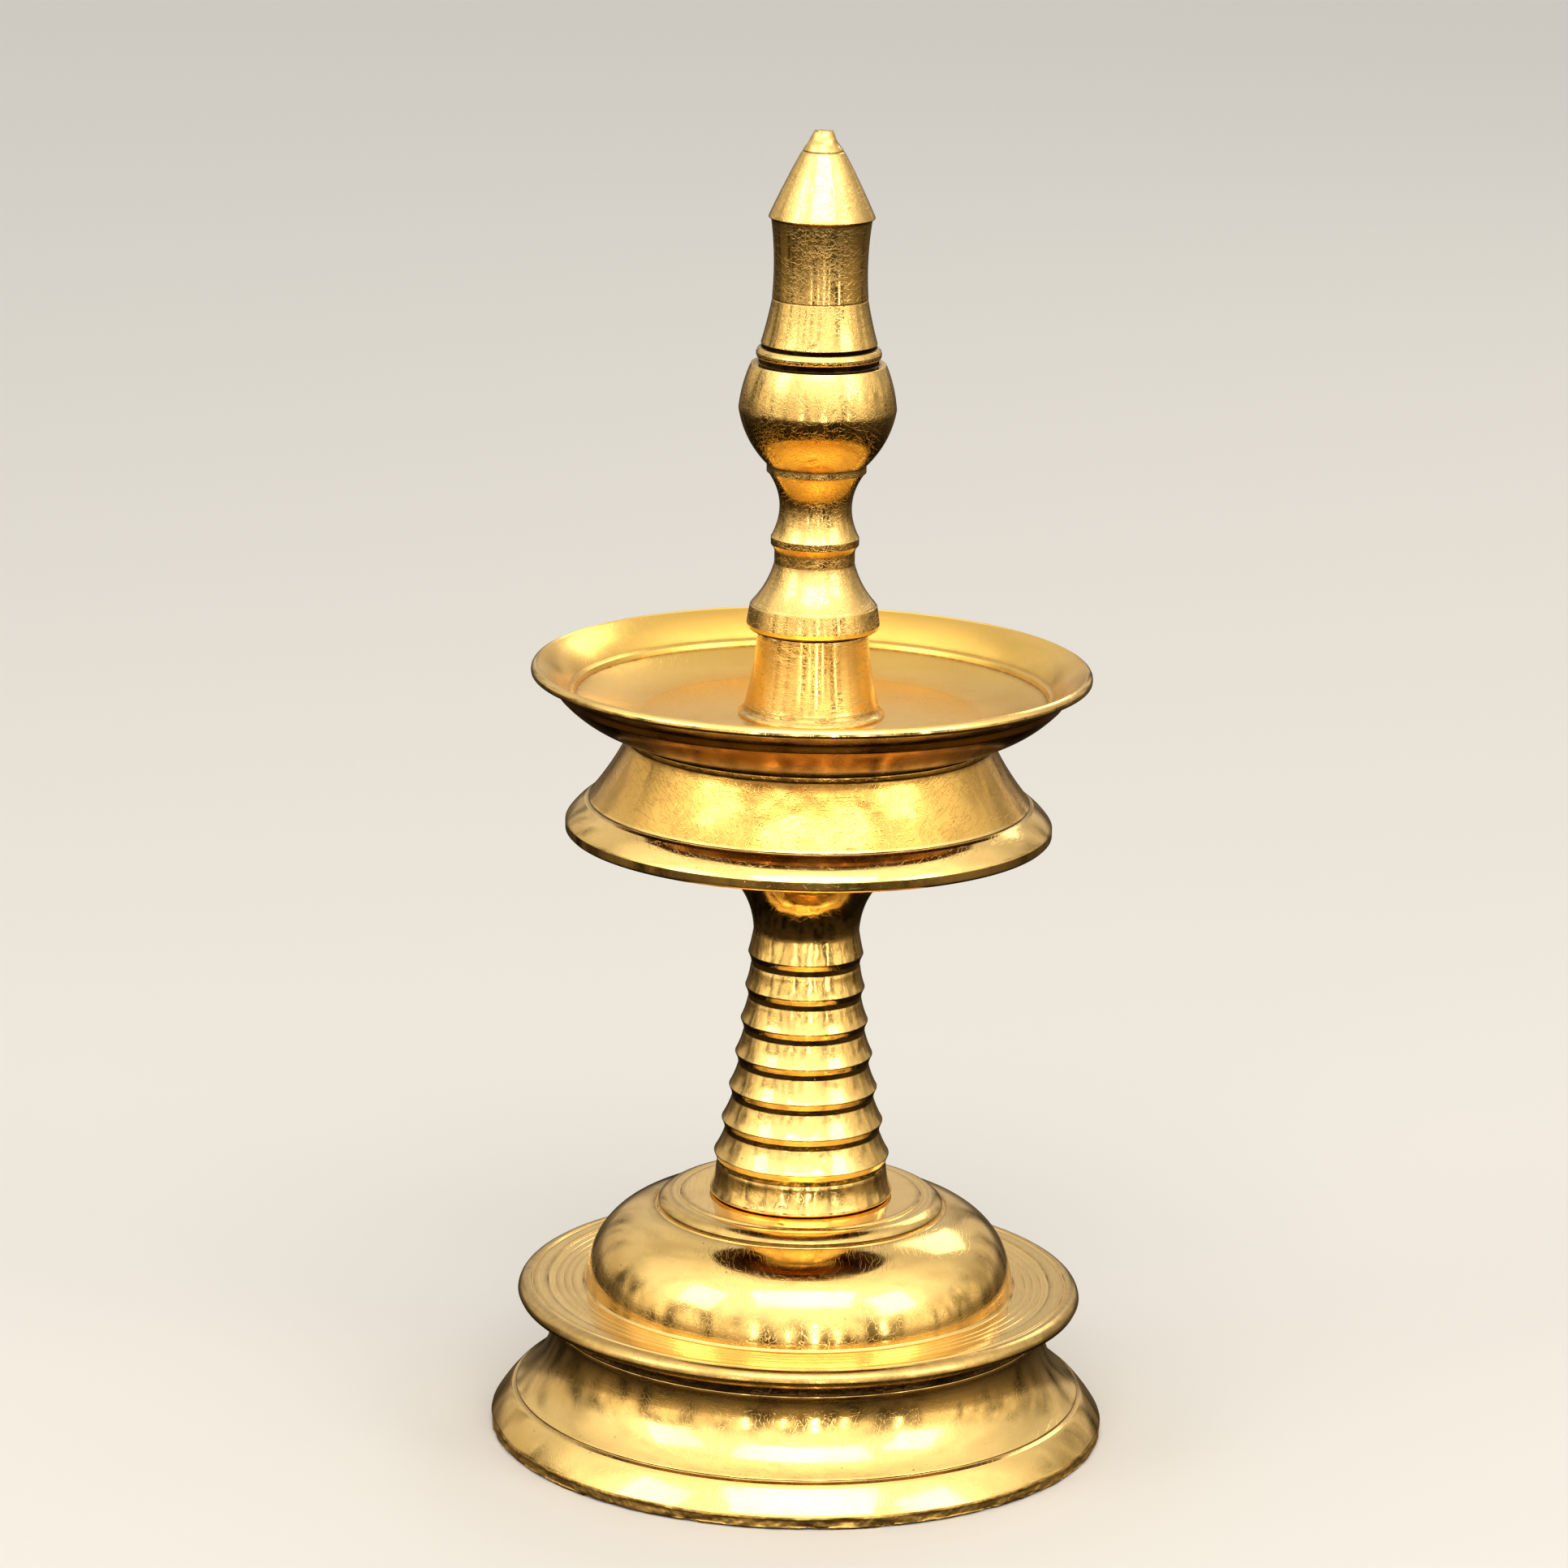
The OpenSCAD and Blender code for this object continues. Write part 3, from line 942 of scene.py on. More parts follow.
@dataclass
class Base:
    """Foot ring, dark brazed seam and the dome with its plate.

    Attributes:
        wall: thickness of the hollow castings.
        edge_h: height of the foot's rough bottom edge.
        groove_r: radius of the foot's scribed groove.
        groove_h: height of that groove.
        cove: depth of the foot's hollow flare.
        spigot_h: length of the dome's spigot inside the foot.
        plate_t: thickness of the plate over the seam.
        rim_t: thickness of the plate's rim.
        dome_r: radius where dome meets plate.
        top_r: radius of the groove round the flat top.
        bead_w: width of the bead inside that groove.
        bead_drop: fall of the bead.
        groove_drop: depth of the groove under the flat top.
        bulge: swell of the dome's side.
        step_r: radius of the small step in the plate.
        step_h: height of the step.
        ring_r: radius of the scribed ring in the plate.
        fine_rings: radii of the hair-thin lines turned in the plate.
        boss_r: radius of the boss inside.
        boss_h: length of the boss.
        shell: wall of the dome's side.
        top_t: thickness of the dome's flat top.
    """

    wall: float = 2.7
    edge_h: float = 1.9
    groove_r: float = 41.4
    groove_h: float = 5.9
    cove: float = 1.5
    spigot_h: float = 4.5
    plate_t: float = 3.2
    rim_t: float = 1.8
    dome_r: float = 31.3
    top_r: float = 21.0
    bead_w: float = 3.4
    bead_drop: float = 1.3
    groove_drop: float = 2.2
    bulge: float = 2.7
    step_r: float = 36.5
    step_h: float = 0.25
    ring_r: float = 38.9
    fine_rings: tuple[float, ...] = (33.1, 34.2, 35.4)
    boss_r: float = 7.5
    boss_h: float = 12.8
    shell: float = 2.3
    top_t: float = 4.6

    def build(self) -> list[Piece]:
        """Makes the three pieces.

        Returns:
            The pieces.
        """
        foot_r, _, foot_h = span("foot_ring")
        neck_r = span("foot_seam")[0]
        spigot_r = neck_r - self.wall
        return [
            self.foot(foot_r, foot_h, neck_r, spigot_r).make(),
            self.seam(foot_h, neck_r, spigot_r).make(),
            self.dome(foot_h, spigot_r).make(),
        ]

    def foot(self, foot_r: float, foot_h: float, neck_r: float, spigot_r: float) -> Casting:
        """The flared foot ring, with its rough bottom edge.

        Args:
            foot_r: radius of the bottom edge.
            foot_h: height of the ring.
            neck_r: radius under the plate.
            spigot_r: radius of the socket for the dome's spigot.

        Returns:
            The casting.
        """
        r = foot_r - BOX_MARGIN
        sizes = FlareSizes(r, self.edge_h, self.groove_r, self.groove_h, neck_r, foot_h, self.cove)
        outline = Outline([(r - self.wall, 0.0)])
        outline.to(r - EDGE, 0.0, Cut.CURVED)
        flare(outline, 0.0, sizes)
        outline.via([(spigot_r + SLIP, foot_h), (spigot_r + SLIP, foot_h - self.spigot_h)], Cut.HIDDEN)
        outline.to(spigot_r - EDGE, foot_h - self.spigot_h)
        outline.bow(r - self.wall - EDGE, self.edge_h, self.cove, Cut.SHOWN)
        coarse, fine = grain(150, 0.8, 11), grain(520, 0.35, 12)
        chips = [
            Nick(turn, z=0.2 + 0.9 * (i % 2), wide=0.5 + 0.25 * (i % 3), tall=0.45, depth=0.35, lean=0.1)
            for i, turn in enumerate(CHIPS)
        ]

        def relief(theta: Rows, lay: Rows, rad: Rows, z: Rows) -> Rows:
            """Rough cast edge at the bottom, with chips."""
            rough = np.clip((self.edge_h - z) / 0.5, 0, 1) * (rad > r - self.wall - 0.5)
            lumps = 0.10 * coarse(theta, lay, rad, z) + 0.05 * fine(theta, lay, rad, z) - 0.13
            broken = sum(chip.relief(theta, rad, z) for chip in chips)
            return rough * (lumps + broken)

        def paint(path: Rows) -> Rows:
            """Bare casting below the sloping band and inside."""
            inside = np.arange(len(path)) > np.argmax(path[:, 1] >= foot_h - 1e-6)
            low = path[:, 1] < self.edge_h - 0.25
            return (inside | low).astype(int)

        finishes = (BUFFED, AS_CAST)
        return Casting(outline, finishes, "base", "foot_ring", "cast_brass", relief, paint, ease=0.14)

    def seam(self, foot_h: float, neck_r: float, spigot_r: float) -> Casting:
        """The bead of dark brazing filler between foot and plate.

        Args:
            foot_h: height of the foot ring.
            neck_r: radius under the plate.
            spigot_r: radius of the dome's spigot.

        Returns:
            The casting.
        """
        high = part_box("foot_seam")[1].z / MM
        inner = spigot_r + SLIP
        outline = Outline([(inner, foot_h)])
        outline.to(neck_r - EDGE, foot_h, Cut.HIDDEN).bow(neck_r - EDGE, high, EDGE, Cut.CURVED)
        outline.to(inner, high, Cut.HIDDEN)
        lumps, grit = grain(240, 0.5, 21), grain(700, 0.2, 22)

        def relief(theta: Rows, lay: Rows, rad: Rows, z: Rows) -> Rows:
            """Gritty lumps on the outside."""
            open_side = np.clip((rad - neck_r + 1.0) / 0.5, 0, 1)
            edge = np.clip((z - foot_h) / 0.2, 0, 1) * np.clip((high - z) / 0.2, 0, 1)
            rough = 0.16 * lumps(theta, lay, rad, z) + 0.1 * grit(theta, lay, rad, z) - 0.22
            return open_side * edge * rough

        return Casting(outline, (BRAZE,), "base", "foot_seam", "braze", relief)

    def dome(self, foot_h: float, spigot_r: float) -> Casting:
        """The plate and dome, hollow, with a threaded boss.

        Args:
            foot_h: height of the foot ring.
            spigot_r: radius of the spigot.

        Returns:
            The casting.
        """
        rim_r, _, top_z = span("base_dome")
        under_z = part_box("foot_seam")[1].z / MM
        plate_z = under_z + self.plate_t
        ceiling_z = top_z - self.top_t
        spigot_z = foot_h - self.spigot_h + EDGE
        top_r, bead_r = self.top_r, self.top_r - self.bead_w
        outline = Outline([(BORE_R, top_z - self.boss_h)])
        outline.to(BORE_R, top_z, Cut.HIDDEN).to(bead_r - EDGE, top_z)
        outline.to(bead_r, top_z - EDGE).bow(top_r - EDGE, top_z - self.bead_drop, -0.5)
        outline.to(top_r - EDGE, top_z - self.groove_drop + SCRIBE).to(top_r, top_z - self.groove_drop)
        outline.to(top_r + EDGE, top_z - self.groove_drop + EDGE)
        outline.bow(self.dome_r, plate_z + EDGE, -self.bulge).to(self.dome_r + EDGE, plate_z)
        for ring in self.fine_rings:
            outline.to(ring - FINE, plate_z).to(ring, plate_z - FINE).to(ring + FINE, plate_z)
        outline.to(self.step_r, plate_z).to(self.step_r + self.step_h, plate_z + self.step_h)
        outline.to(self.ring_r - SCRIBE, plate_z + self.step_h).to(self.ring_r, plate_z)
        outline.to(self.ring_r + SCRIBE, plate_z + self.step_h).to(rim_r - 1.2, plate_z + self.step_h)
        outline.bow(rim_r, plate_z - self.rim_t + 2 * EDGE, -EDGE)
        outline.to(rim_r - EDGE, plate_z - self.rim_t).to(rim_r - self.wall, plate_z - self.rim_t - EDGE)
        outline.to(rim_r - self.wall - 2 * EDGE, under_z)
        outline.via([(spigot_r, under_z), (spigot_r, spigot_z), (spigot_r - self.wall, spigot_z)], Cut.HIDDEN)
        outline.to(spigot_r - self.wall, under_z, Cut.HIDDEN).to(self.dome_r - self.shell, under_z + 1)
        outline.bow(top_r - 2 * self.shell, ceiling_z, self.bulge - 0.5, Cut.SHOWN)
        outline.to(self.boss_r + 1, ceiling_z)
        outline.to(self.boss_r, ceiling_z - 1).to(self.boss_r, top_z - self.boss_h)

        def paint(path: Rows) -> Rows:
            """Bare casting inside, from the spigot on."""
            under = np.arange(len(path)) > np.argmax(path[:, 1] < under_z - 0.5)
            after_rim = np.arange(len(path)) > np.argmax(path[:, 0])
            return (under & after_rim & (path[:, 1] < ceiling_z + 0.1)).astype(int)

        finishes = (BUFFED, AS_CAST)
        return Casting(outline, finishes, "base", "base_dome", "polished_brass", None, paint, ease=0.12)


@dataclass
class Stem:
    """The ridged stem.

    Attributes:
        neck_r: radius of the slim neck.
        neck_h: height of the neck above the stem's foot.
        top_edge_drop: from the neck down to the top ridge's edge.
        ridges: number of ridges.
        pitch: height from ridge to ridge.
        top_ridge_r: radius of the top ridge.
        low_ridge_r: radius of the bottom ridge.
        taper: how much faster ridges widen towards the foot.
        cut: depth of the recess under a ridge.
        recess: height of that recess.
        under_h: height of the slope under a ridge's edge.
        collar_r: radius of the flared head.
        collar_h: height of the flared head above the stem's foot.
        rim_h: height of the flared head's upright rim.
        slope_h: height of the slope above the rim.
        step_h: height above the rim at which the plug starts.
        head_r: radius of the plug that carries the dish.
    """

    neck_r: float = 7.65
    neck_h: float = 39.5
    top_edge_drop: float = 3.4
    ridges: int = 7
    pitch: float = 5.0
    top_ridge_r: float = 8.35
    low_ridge_r: float = 12.8
    taper: float = 1.45
    cut: float = 0.4
    recess: float = 2.0
    under_h: float = 0.9
    collar_r: float = 12.2
    collar_h: float = 49.4
    rim_h: float = 0.9
    slope_h: float = 1.5
    step_h: float = 2.4
    head_r: float = 8.5

    def ridge_r(self, i: int) -> float:
        """Radius of ridge i, counted from the top."""
        share = (i / (self.ridges - 1)) ** self.taper
        return self.top_ridge_r + (self.low_ridge_r - self.top_ridge_r) * share

    def build(self) -> list[Piece]:
        """Makes the stem.

        Returns:
            The piece.
        """
        foot_r, low, high = span("stem")
        neck_z = low + self.neck_h
        outline = Outline([(0.0, low + HOLE_H + DRILL_TIP)], closed=False)
        outline.to(BORE_R, low + HOLE_H, Cut.HIDDEN).to(BORE_R, low, Cut.HIDDEN)
        outline.to(foot_r - EDGE, low).to(foot_r, low + EDGE).to(foot_r, low + 2 * EDGE)
        edge_z = neck_z - self.top_edge_drop
        outline.bow(self.low_ridge_r - self.cut, edge_z - (self.ridges - 1) * self.pitch - self.recess, -0.15)
        for i in reversed(range(self.ridges)):
            self.cut_ridge(outline, i, edge_z - i * self.pitch, neck_z)
        collar_z = low + self.collar_h
        outline.to(self.neck_r + 0.02, neck_z + 0.4)
        rim_z = collar_z - self.rim_h
        outline.bow(self.collar_r - EDGE, rim_z - EDGE, -0.95).to(self.collar_r, rim_z)
        outline.to(self.collar_r, collar_z).to(self.collar_r - 2 * EDGE, collar_z + 2 * EDGE)
        outline.to(self.head_r + 1, collar_z + self.slope_h).to(self.head_r, collar_z + self.step_h)
        outline.to(self.head_r, high).to(BORE_R, high)
        outline.to(BORE_R, high - HOLE_H, Cut.HIDDEN).to(0.0, high - HOLE_H - DRILL_TIP, Cut.HIDDEN)
        wobble = grain(9, 6.0, 31)
        dents = [
            Nick(-12, low + 1.3, 0.5, 0.3, 0.15),
            Nick(16, low + 8.6, 0.4, 0.3, 0.12),
            Nick(120, low + 22, 0.6, 0.3, 0.12),
        ]

        def relief(theta: Rows, lay: Rows, rad: Rows, z: Rows) -> Rows:
            """Slow unevenness left by hand buffing, and a few dents."""
            between = (z > low + 0.5) * (z < collar_z - 0.5)
            open_side = np.clip((rad - self.neck_r + 0.6) / 0.4, 0, 1) * between
            dented = sum(dent.relief(theta, rad, z) for dent in dents)
            return open_side * (0.04 * wobble(theta, lay, rad, z) - 0.04 + dented)

        stem = Casting(outline, (HAND_BUFFED,), "stem", "stem", "polished_brass", relief)
        stem.ease, stem.crease_depth = 0.3, 0.4
        return [stem.make()]

    def cut_ridge(self, outline: Outline, i: int, z: float, neck_z: float) -> None:
        """Cuts the recess under one ridge, its crisp lower edge and its hollow face.

        Args:
            outline: outline that has come up to the recess.
            i: number of the ridge, from the top.
            z: height of its lower edge.
            neck_z: height of the slim neck.
        """
        r = self.ridge_r(i)
        outline.to(r - self.cut - 0.1, z - self.recess + EDGE, Cut.CURVED)
        outline.to(r - self.cut, z - self.under_h, Cut.CURVED).to(r, z, Cut.CURVED)
        if i == 0:
            outline.bow(self.neck_r, neck_z, -0.05)
        else:
            outline.bow(self.ridge_r(i - 1) - self.cut, z + self.pitch - self.recess, -0.1)


@dataclass
class Dish:
    """Oil dish, flared skirt, brazed seam and the collar that carries the finial.

    Attributes:
        lip_h: height of the lip's outer band.
        lip_w: width of its flat top.
        step_r: radius of the step inside the lip.
        step_drop: depth of the step under the lip.
        body_r: radius of the rounded body under the lip.
        body_drop: depth of the body's top under the lip's band.
        body_edge_h: height of the body's edge.
        floor_t: thickness of the floor.
        flat_r: radius of the flat part of the floor.
        hub_r: radius of the hub under the floor.
        hub_bore_r: radius of the hole for the collar.
        skirt_edge_h: height of the skirt's upright edge.
        skirt_groove_r: radius of its groove.
        skirt_groove_h: height of its groove above its edge.
        skirt_cove: depth of its hollow flare.
        inner_cove: depth of the hollow inside it.
        wall: thickness of the skirt.
        collar_top_r: radius at the top of the collar.
        collar_foot_r: radius at its foot.
        fillet_w: width of the fillet at its foot.
        fillet_h: height of the fillet.
    """

    lip_h: float = 1.3
    lip_w: float = 0.75
    step_r: float = 34.0
    step_drop: float = 4.0
    body_r: float = 36.1
    body_drop: float = 2.0
    body_edge_h: float = 1.3
    floor_t: float = 2.5
    flat_r: float = 24.0
    hub_r: float = 9.5
    hub_bore_r: float = 6.0
    skirt_edge_h: float = 1.8
    skirt_groove_r: float = 31.9
    skirt_groove_h: float = 4.6
    skirt_cove: float = 0.3
    inner_cove: float = 1.2
    wall: float = 2.7
    collar_top_r: float = 7.9
    collar_foot_r: float = 10.45
    fillet_w: float = 0.9
    fillet_h: float = 1.6

    def build(self) -> list[Piece]:
        """Makes the four pieces.

        Returns:
            The pieces.
        """
        floor_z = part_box("skirt_seam")[1].z / MM + self.floor_t
        return [
            self.bowl(floor_z).make(),
            self.skirt().make(),
            self.seam().make(),
            self.collar(floor_z).make(),
        ]

    def bowl(self, floor_z: float) -> Casting:
        """The shallow dish.

        Args:
            floor_z: height of its floor.

        Returns:
            The casting.
        """
        lip_r, hub_z, lip_z = span("dish_bowl")
        neck_r = span("skirt_seam")[0] - EDGE / 2
        floor_bottom_z = floor_z - self.floor_t
        under_lip_z = lip_z - self.lip_h - self.body_drop
        step_z = lip_z - self.step_drop
        inner = self.hub_bore_r + SLIP
        outline = Outline([(inner, floor_z)])
        outline.to(inner, hub_z, Cut.HIDDEN).to(self.hub_r - EDGE, hub_z).to(self.hub_r, hub_z + EDGE)
        outline.to(self.hub_r + EDGE, floor_bottom_z - EDGE).to(self.hub_r + 2 * EDGE, floor_bottom_z)
        outline.to(neck_r + 2 * EDGE, floor_bottom_z, Cut.HIDDEN)
        outline.to(neck_r + 3 * EDGE, floor_bottom_z + EDGE / 2)
        outline.bow(self.body_r - EDGE, under_lip_z - self.body_edge_h, 0.7)
        outline.to(self.body_r, under_lip_z - self.body_edge_h + EDGE).to(self.body_r, under_lip_z)
        outline.to(self.body_r + 2 * EDGE, under_lip_z + EDGE).to(lip_r - 2 * EDGE, lip_z - self.lip_h - EDGE)
        outline.to(lip_r, lip_z - self.lip_h).bow(lip_r - 2.2 * EDGE, lip_z, 0.3)
        outline.to(lip_r - self.lip_w, lip_z).to(lip_r - self.lip_w - EDGE / 2, lip_z - EDGE / 2)
        outline.bow(self.step_r + 2 * EDGE, step_z + EDGE, 0.35).to(self.step_r, step_z)
        outline.to(self.step_r - EDGE, step_z - 2 * EDGE).to(self.step_r - EDGE, step_z - 2.5 * EDGE)
        outline.bow(self.flat_r, floor_z, -0.4).to(inner, floor_z)

        def paint(path: Rows) -> Rows:
            """Satin inside the lip, painted shade under it."""
            past_lip = np.arange(len(path)) > np.argmax(path[:, 1] >= lip_z - 1e-3)
            inside = past_lip & (path[:, 0] < lip_r - self.lip_w)
            under = ~past_lip & (path[:, 1] < lip_z - self.lip_h - 0.1)
            return inside * 1 + under * 2

        # The third finish, under the lip, is painted shade.
        finishes = (BUFFED, SATIN, UNDER_DISH_SHADE)
        return Casting(outline, finishes, "dish", "dish_bowl", "satin_brass", None, paint, ease=0.16)

    def skirt(self) -> Casting:
        """The flared skirt that hangs under the dish.

        Returns:
            The casting.
        """
        r, low, high = span("dish_skirt")
        top_r = span("skirt_seam")[0] - EDGE / 2
        groove_z = low + self.skirt_groove_h
        outline = Outline([(r - self.wall, low)])
        outline.to(r - EDGE, low)
        sizes = FlareSizes(r, self.skirt_edge_h, self.skirt_groove_r, groove_z, top_r, high, self.skirt_cove)
        flare(outline, low, sizes).to(top_r - self.wall, high)
        outline.bow(r - self.wall - EDGE, low + self.skirt_edge_h, self.inner_cove, Cut.SHOWN)

        def paint(path: Rows) -> Rows:
            """Bare casting inside; above the groove, a smeared slope with a painted reflection tone."""
            inside = np.arange(len(path)) > np.argmax(path[:, 1] >= high - 1e-6)
            slope = ~inside & (path[:, 1] > groove_z + EDGE)
            return inside * 1 + slope * 2

        # The third finish, on the slope, is partly a painted reflection tone.
        finishes = (BUFFED, AS_CAST, SLOPE_WITH_PAINTED_REFLECTION)
        return Casting(outline, finishes, "dish", "dish_skirt", "polished_brass", None, paint, ease=0.12)

    def seam(self) -> Casting:
        """The thin brazed line in the crease between skirt and dish.

        Returns:
            The casting.
        """
        r, low, high = span("skirt_seam")
        outer = r - BOX_MARGIN
        outline = Outline([(r - self.wall, low)])
        outline.to(outer - EDGE, low, Cut.HIDDEN).bow(outer, high, 0.02).to(r - self.wall, high, Cut.HIDDEN)
        lumps = grain(260, 0.4, 41)

        def relief(theta: Rows, lay: Rows, rad: Rows, z: Rows) -> Rows:
            """Small lumps on the outside."""
            return np.clip((rad - r + 1.0) / 0.5, 0, 1) * (0.05 * lumps(theta, lay, rad, z) - 0.06)

        return Casting(outline, (BRAZE,), "dish", "skirt_seam", "braze", relief)

    def collar(self, floor_z: float) -> Casting:
        """The coned collar in the middle of the dish.

        Args:
            floor_z: height of the dish floor.

        Returns:
            The casting.
        """
        _, low, high = span("dish_collar")
        foot_r, top_r = self.collar_foot_r, self.collar_top_r
        outline = Outline([(BORE_R, low)])
        outline.to(self.hub_bore_r, low)
        outline.via([(self.hub_bore_r, floor_z), (foot_r, floor_z)], Cut.HIDDEN)
        outline.to(foot_r, floor_z + EDGE, Cut.CURVED).to(foot_r - EDGE, floor_z + 2 * EDGE)
        outline.bow(foot_r - self.fillet_w, floor_z + self.fillet_h, -0.15)
        outline.to(foot_r - self.fillet_w - EDGE / 6, floor_z + self.fillet_h + EDGE / 3)
        outline.bow(top_r, high - EDGE, -0.25).to(top_r - EDGE, high).to(BORE_R, high)
        outline.to(BORE_R, low, Cut.HIDDEN)
        ragged = grain(46, 1.1, 51)

        def relief(theta: Rows, lay: Rows, rad: Rows, z: Rows) -> Rows:
            """Ragged top edge, where the finial's seat has bruised it."""
            edge = np.clip((z - high + 0.6) / 0.5, 0, 1) * (rad > top_r - 0.5)
            return edge * np.minimum(0, 0.22 * ragged(theta, lay, rad, z) - 0.02)

        def paint(path: Rows) -> Rows:
            """Painted shade round the seat."""
            return (path[:, 1] > high - 0.32).astype(int)

        # The second finish is painted shade where the finial's seat meets the collar.
        finishes = (CHATTERED, PAINTED_SEAT_SHADE)
        return Casting(outline, finishes, "dish", "dish_collar", "worn_brass", relief, paint, ease=0.08)


@dataclass
class Finial:
    """The tall turned finial.

    Attributes:
        flange_r: radius of the flange that sits on the collar.
        flange_h: height of the flange.
        neck_r: radius of the neck above it.
        neck_z: height of the neck; heights are above the seat.
        neck_top_z: height of its top.
        bead_r: radius of the small bead.
        bead_z: height of its foot.
        bead_top_z: height of its top.
        waist_r: radius of the waist under the bulb.
        waist_sag: depth of its hollow.
        cup_r: radius of the cup that holds the bulb.
        cup_h: height of the cup's lip.
        bulb_bottom_z: height of the bulb's foot.
        bulb_r: radius of the bulb.
        bulb_z: height of its widest part.
        bulb_top_z: height of its top.
        shoulder_w: flat part round its top.
        bell_foot_r: radius of the bell's foot.
        ring_out: how far the ring under the bell stands out.
        ring_z: height of the ring's foot.
        ring_top_z: height of its top.
        bell_z: height of the bell's foot.
        bell_r: radius of the bell's slim part.
        line_z: height of its scribed line.
        cone_z: height of the cone's base.
        cone_r: radius of the cone's base.
        nub_z: height of the scratch round the tip.
        nub_r: radius there.
        tip_r: radius of the blunt tip.
    """

    flange_r: float = 9.55
    flange_h: float = 3.5
    neck_r: float = 5.75
    neck_z: float = 9.6
    neck_top_z: float = 11.3
    bead_r: float = 6.3
    bead_z: float = 12.3
    bead_top_z: float = 13.5
    waist_r: float = 5.25
    waist_sag: float = 1.35
    cup_r: float = 7.1
    cup_h: float = 1.2
    bulb_bottom_z: float = 23.8
    bulb_r: float = 11.2
    bulb_z: float = 31.7
    bulb_top_z: float = 38.2
    shoulder_w: float = 1.3
    bell_foot_r: float = 8.25
    ring_out: float = 0.25
    ring_z: float = 38.8
    ring_top_z: float = 40.5
    bell_z: float = 41.1
    bell_r: float = 6.7
    line_z: float = 47.4
    cone_z: float = 58.9
    cone_r: float = 7.55
    nub_z: float = 68.2
    nub_r: float = 2.9
    tip_r: float = 1.42

    def build(self) -> list[Piece]:
        """Makes the finial.

        Returns:
            The piece.
        """
        low, high = (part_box("finial")[i].z / MM for i in (0, 1))
        outline = self.outline(high - low)
        outline.points = [(r, z + low) for r, z in outline.points]
        nicks = [
            Nick(-7, low + 41.6, 0.55, 0.22, 0.3, 0.7),
            Nick(-4, low + 25.6, 0.7, 0.18, 0.25, 0.3),
            Nick(4, low + 32.2, 0.3, 0.12, 0.15, -0.4),
            Nick(12, low + 33.0, 0.3, 0.12, 0.15, 0.5),
            Nick(95, low + 29.0, 0.6, 0.2, 0.2, 0.2),
            Nick(170, low + 35.0, 0.5, 0.25, 0.2, -0.5),
            Nick(230, low + 44.0, 0.5, 0.2, 0.2, 0.6),
            Nick(-14, low + 63.5, 0.18, 0.12, 0.2),
            Nick(14, low + 63.2, 0.15, 0.12, 0.2),
        ]
        tip = grain(7, 0.8, 61)
        wobble = grain(5, 9.0, 62)

        def relief(theta: Rows, lay: Rows, rad: Rows, z: Rows) -> Rows:
            """Filed tip, slow unevenness and nicks."""
            filed = np.clip((z - low - self.nub_z - 0.3) / 1.2, 0, 1) * np.clip(rad / self.tip_r, 0, 1)
            open_side = (rad > self.waist_r - 0.5) * np.clip((z - low) / 0.5, 0, 1)
            slow = 0.025 * wobble(theta, lay, rad, z) - 0.025
            return filed * (0.2 * tip(theta, lay, rad, z) - 0.2) + open_side * (
                slow + sum(n.relief(theta, rad, z) for n in nicks)
            )

        def paint(path: Rows) -> Rows:
            """Painted shade on the seat and in the two grooves."""
            up = path[:, 1] - low
            upper = (up > self.ring_top_z + 0.08) & (up < self.bell_z - 0.06)
            lower = (up > self.bulb_top_z + 0.16) & (up < self.ring_z + 0.04)
            return ((up < 0.22) | upper | lower).astype(int)

        # The second finish is painted shade on the seat and in the two grooves.
        finial = Casting(outline, (SCUFFED, PAINTED_SEAT_SHADE), "finial", "finial", "polished_brass", relief, paint)
        finial.crease_depth = 0.1
        return [finial.make()]

    def outline(self, height: float) -> Outline:
        """The finial's outline, with heights above its seat.

        Args:
            height: height of the whole finial.

        Returns:
            The outline.
        """
        flange_r = self.flange_r
        ring_r = self.bell_foot_r + self.ring_out
        path = Outline([(0.0, HOLE_H + DRILL_TIP)], closed=False)
        path.to(BORE_R, HOLE_H, Cut.HIDDEN).to(BORE_R, 0.0, Cut.HIDDEN).to(flange_r - 2 * EDGE, 0.0)
        path.to(flange_r - EDGE / 2, EDGE).to(flange_r, 3 * EDGE).to(flange_r - 1.5 * EDGE, self.flange_h)
        path.to(flange_r - 2 * EDGE, self.flange_h + EDGE / 2).to(flange_r - 2.2 * EDGE, self.flange_h + EDGE)
        path.bow(self.neck_r, self.neck_z, -0.4).to(self.neck_r, self.neck_top_z, Cut.CURVED)
        path.bow(self.bead_r - SCRIBE, self.bead_z - EDGE, -0.05).to(self.bead_r, self.bead_z)
        path.to(self.bead_r, self.bead_top_z - EDGE / 2, Cut.CURVED)
        path.to(self.bead_r - EDGE / 3, self.bead_top_z)
        cup_z = self.bulb_bottom_z - self.cup_h
        path.bow(self.cup_r - SCRIBE, cup_z, -self.waist_sag)
        path.to(self.cup_r, cup_z + EDGE / 2).to(self.cup_r, self.bulb_bottom_z, Cut.CURVED)
        path.to(self.cup_r + EDGE, self.bulb_bottom_z + EDGE).bow(self.bulb_r, self.bulb_z, 0.65)
        path.to(self.bulb_r - 0.01, self.bulb_z + EDGE)
        path.bow(self.bell_foot_r + self.shoulder_w, self.bulb_top_z, 0.25)
        path.to(ring_r, self.bulb_top_z + EDGE / 2).to(ring_r, self.ring_z).bow(ring_r, self.ring_top_z, 0.4)
        path.to(self.bell_foot_r - EDGE / 2, self.ring_top_z + EDGE / 3)
        path.to(self.bell_foot_r - EDGE / 2, self.bell_z - EDGE / 3).to(self.bell_foot_r, self.bell_z)
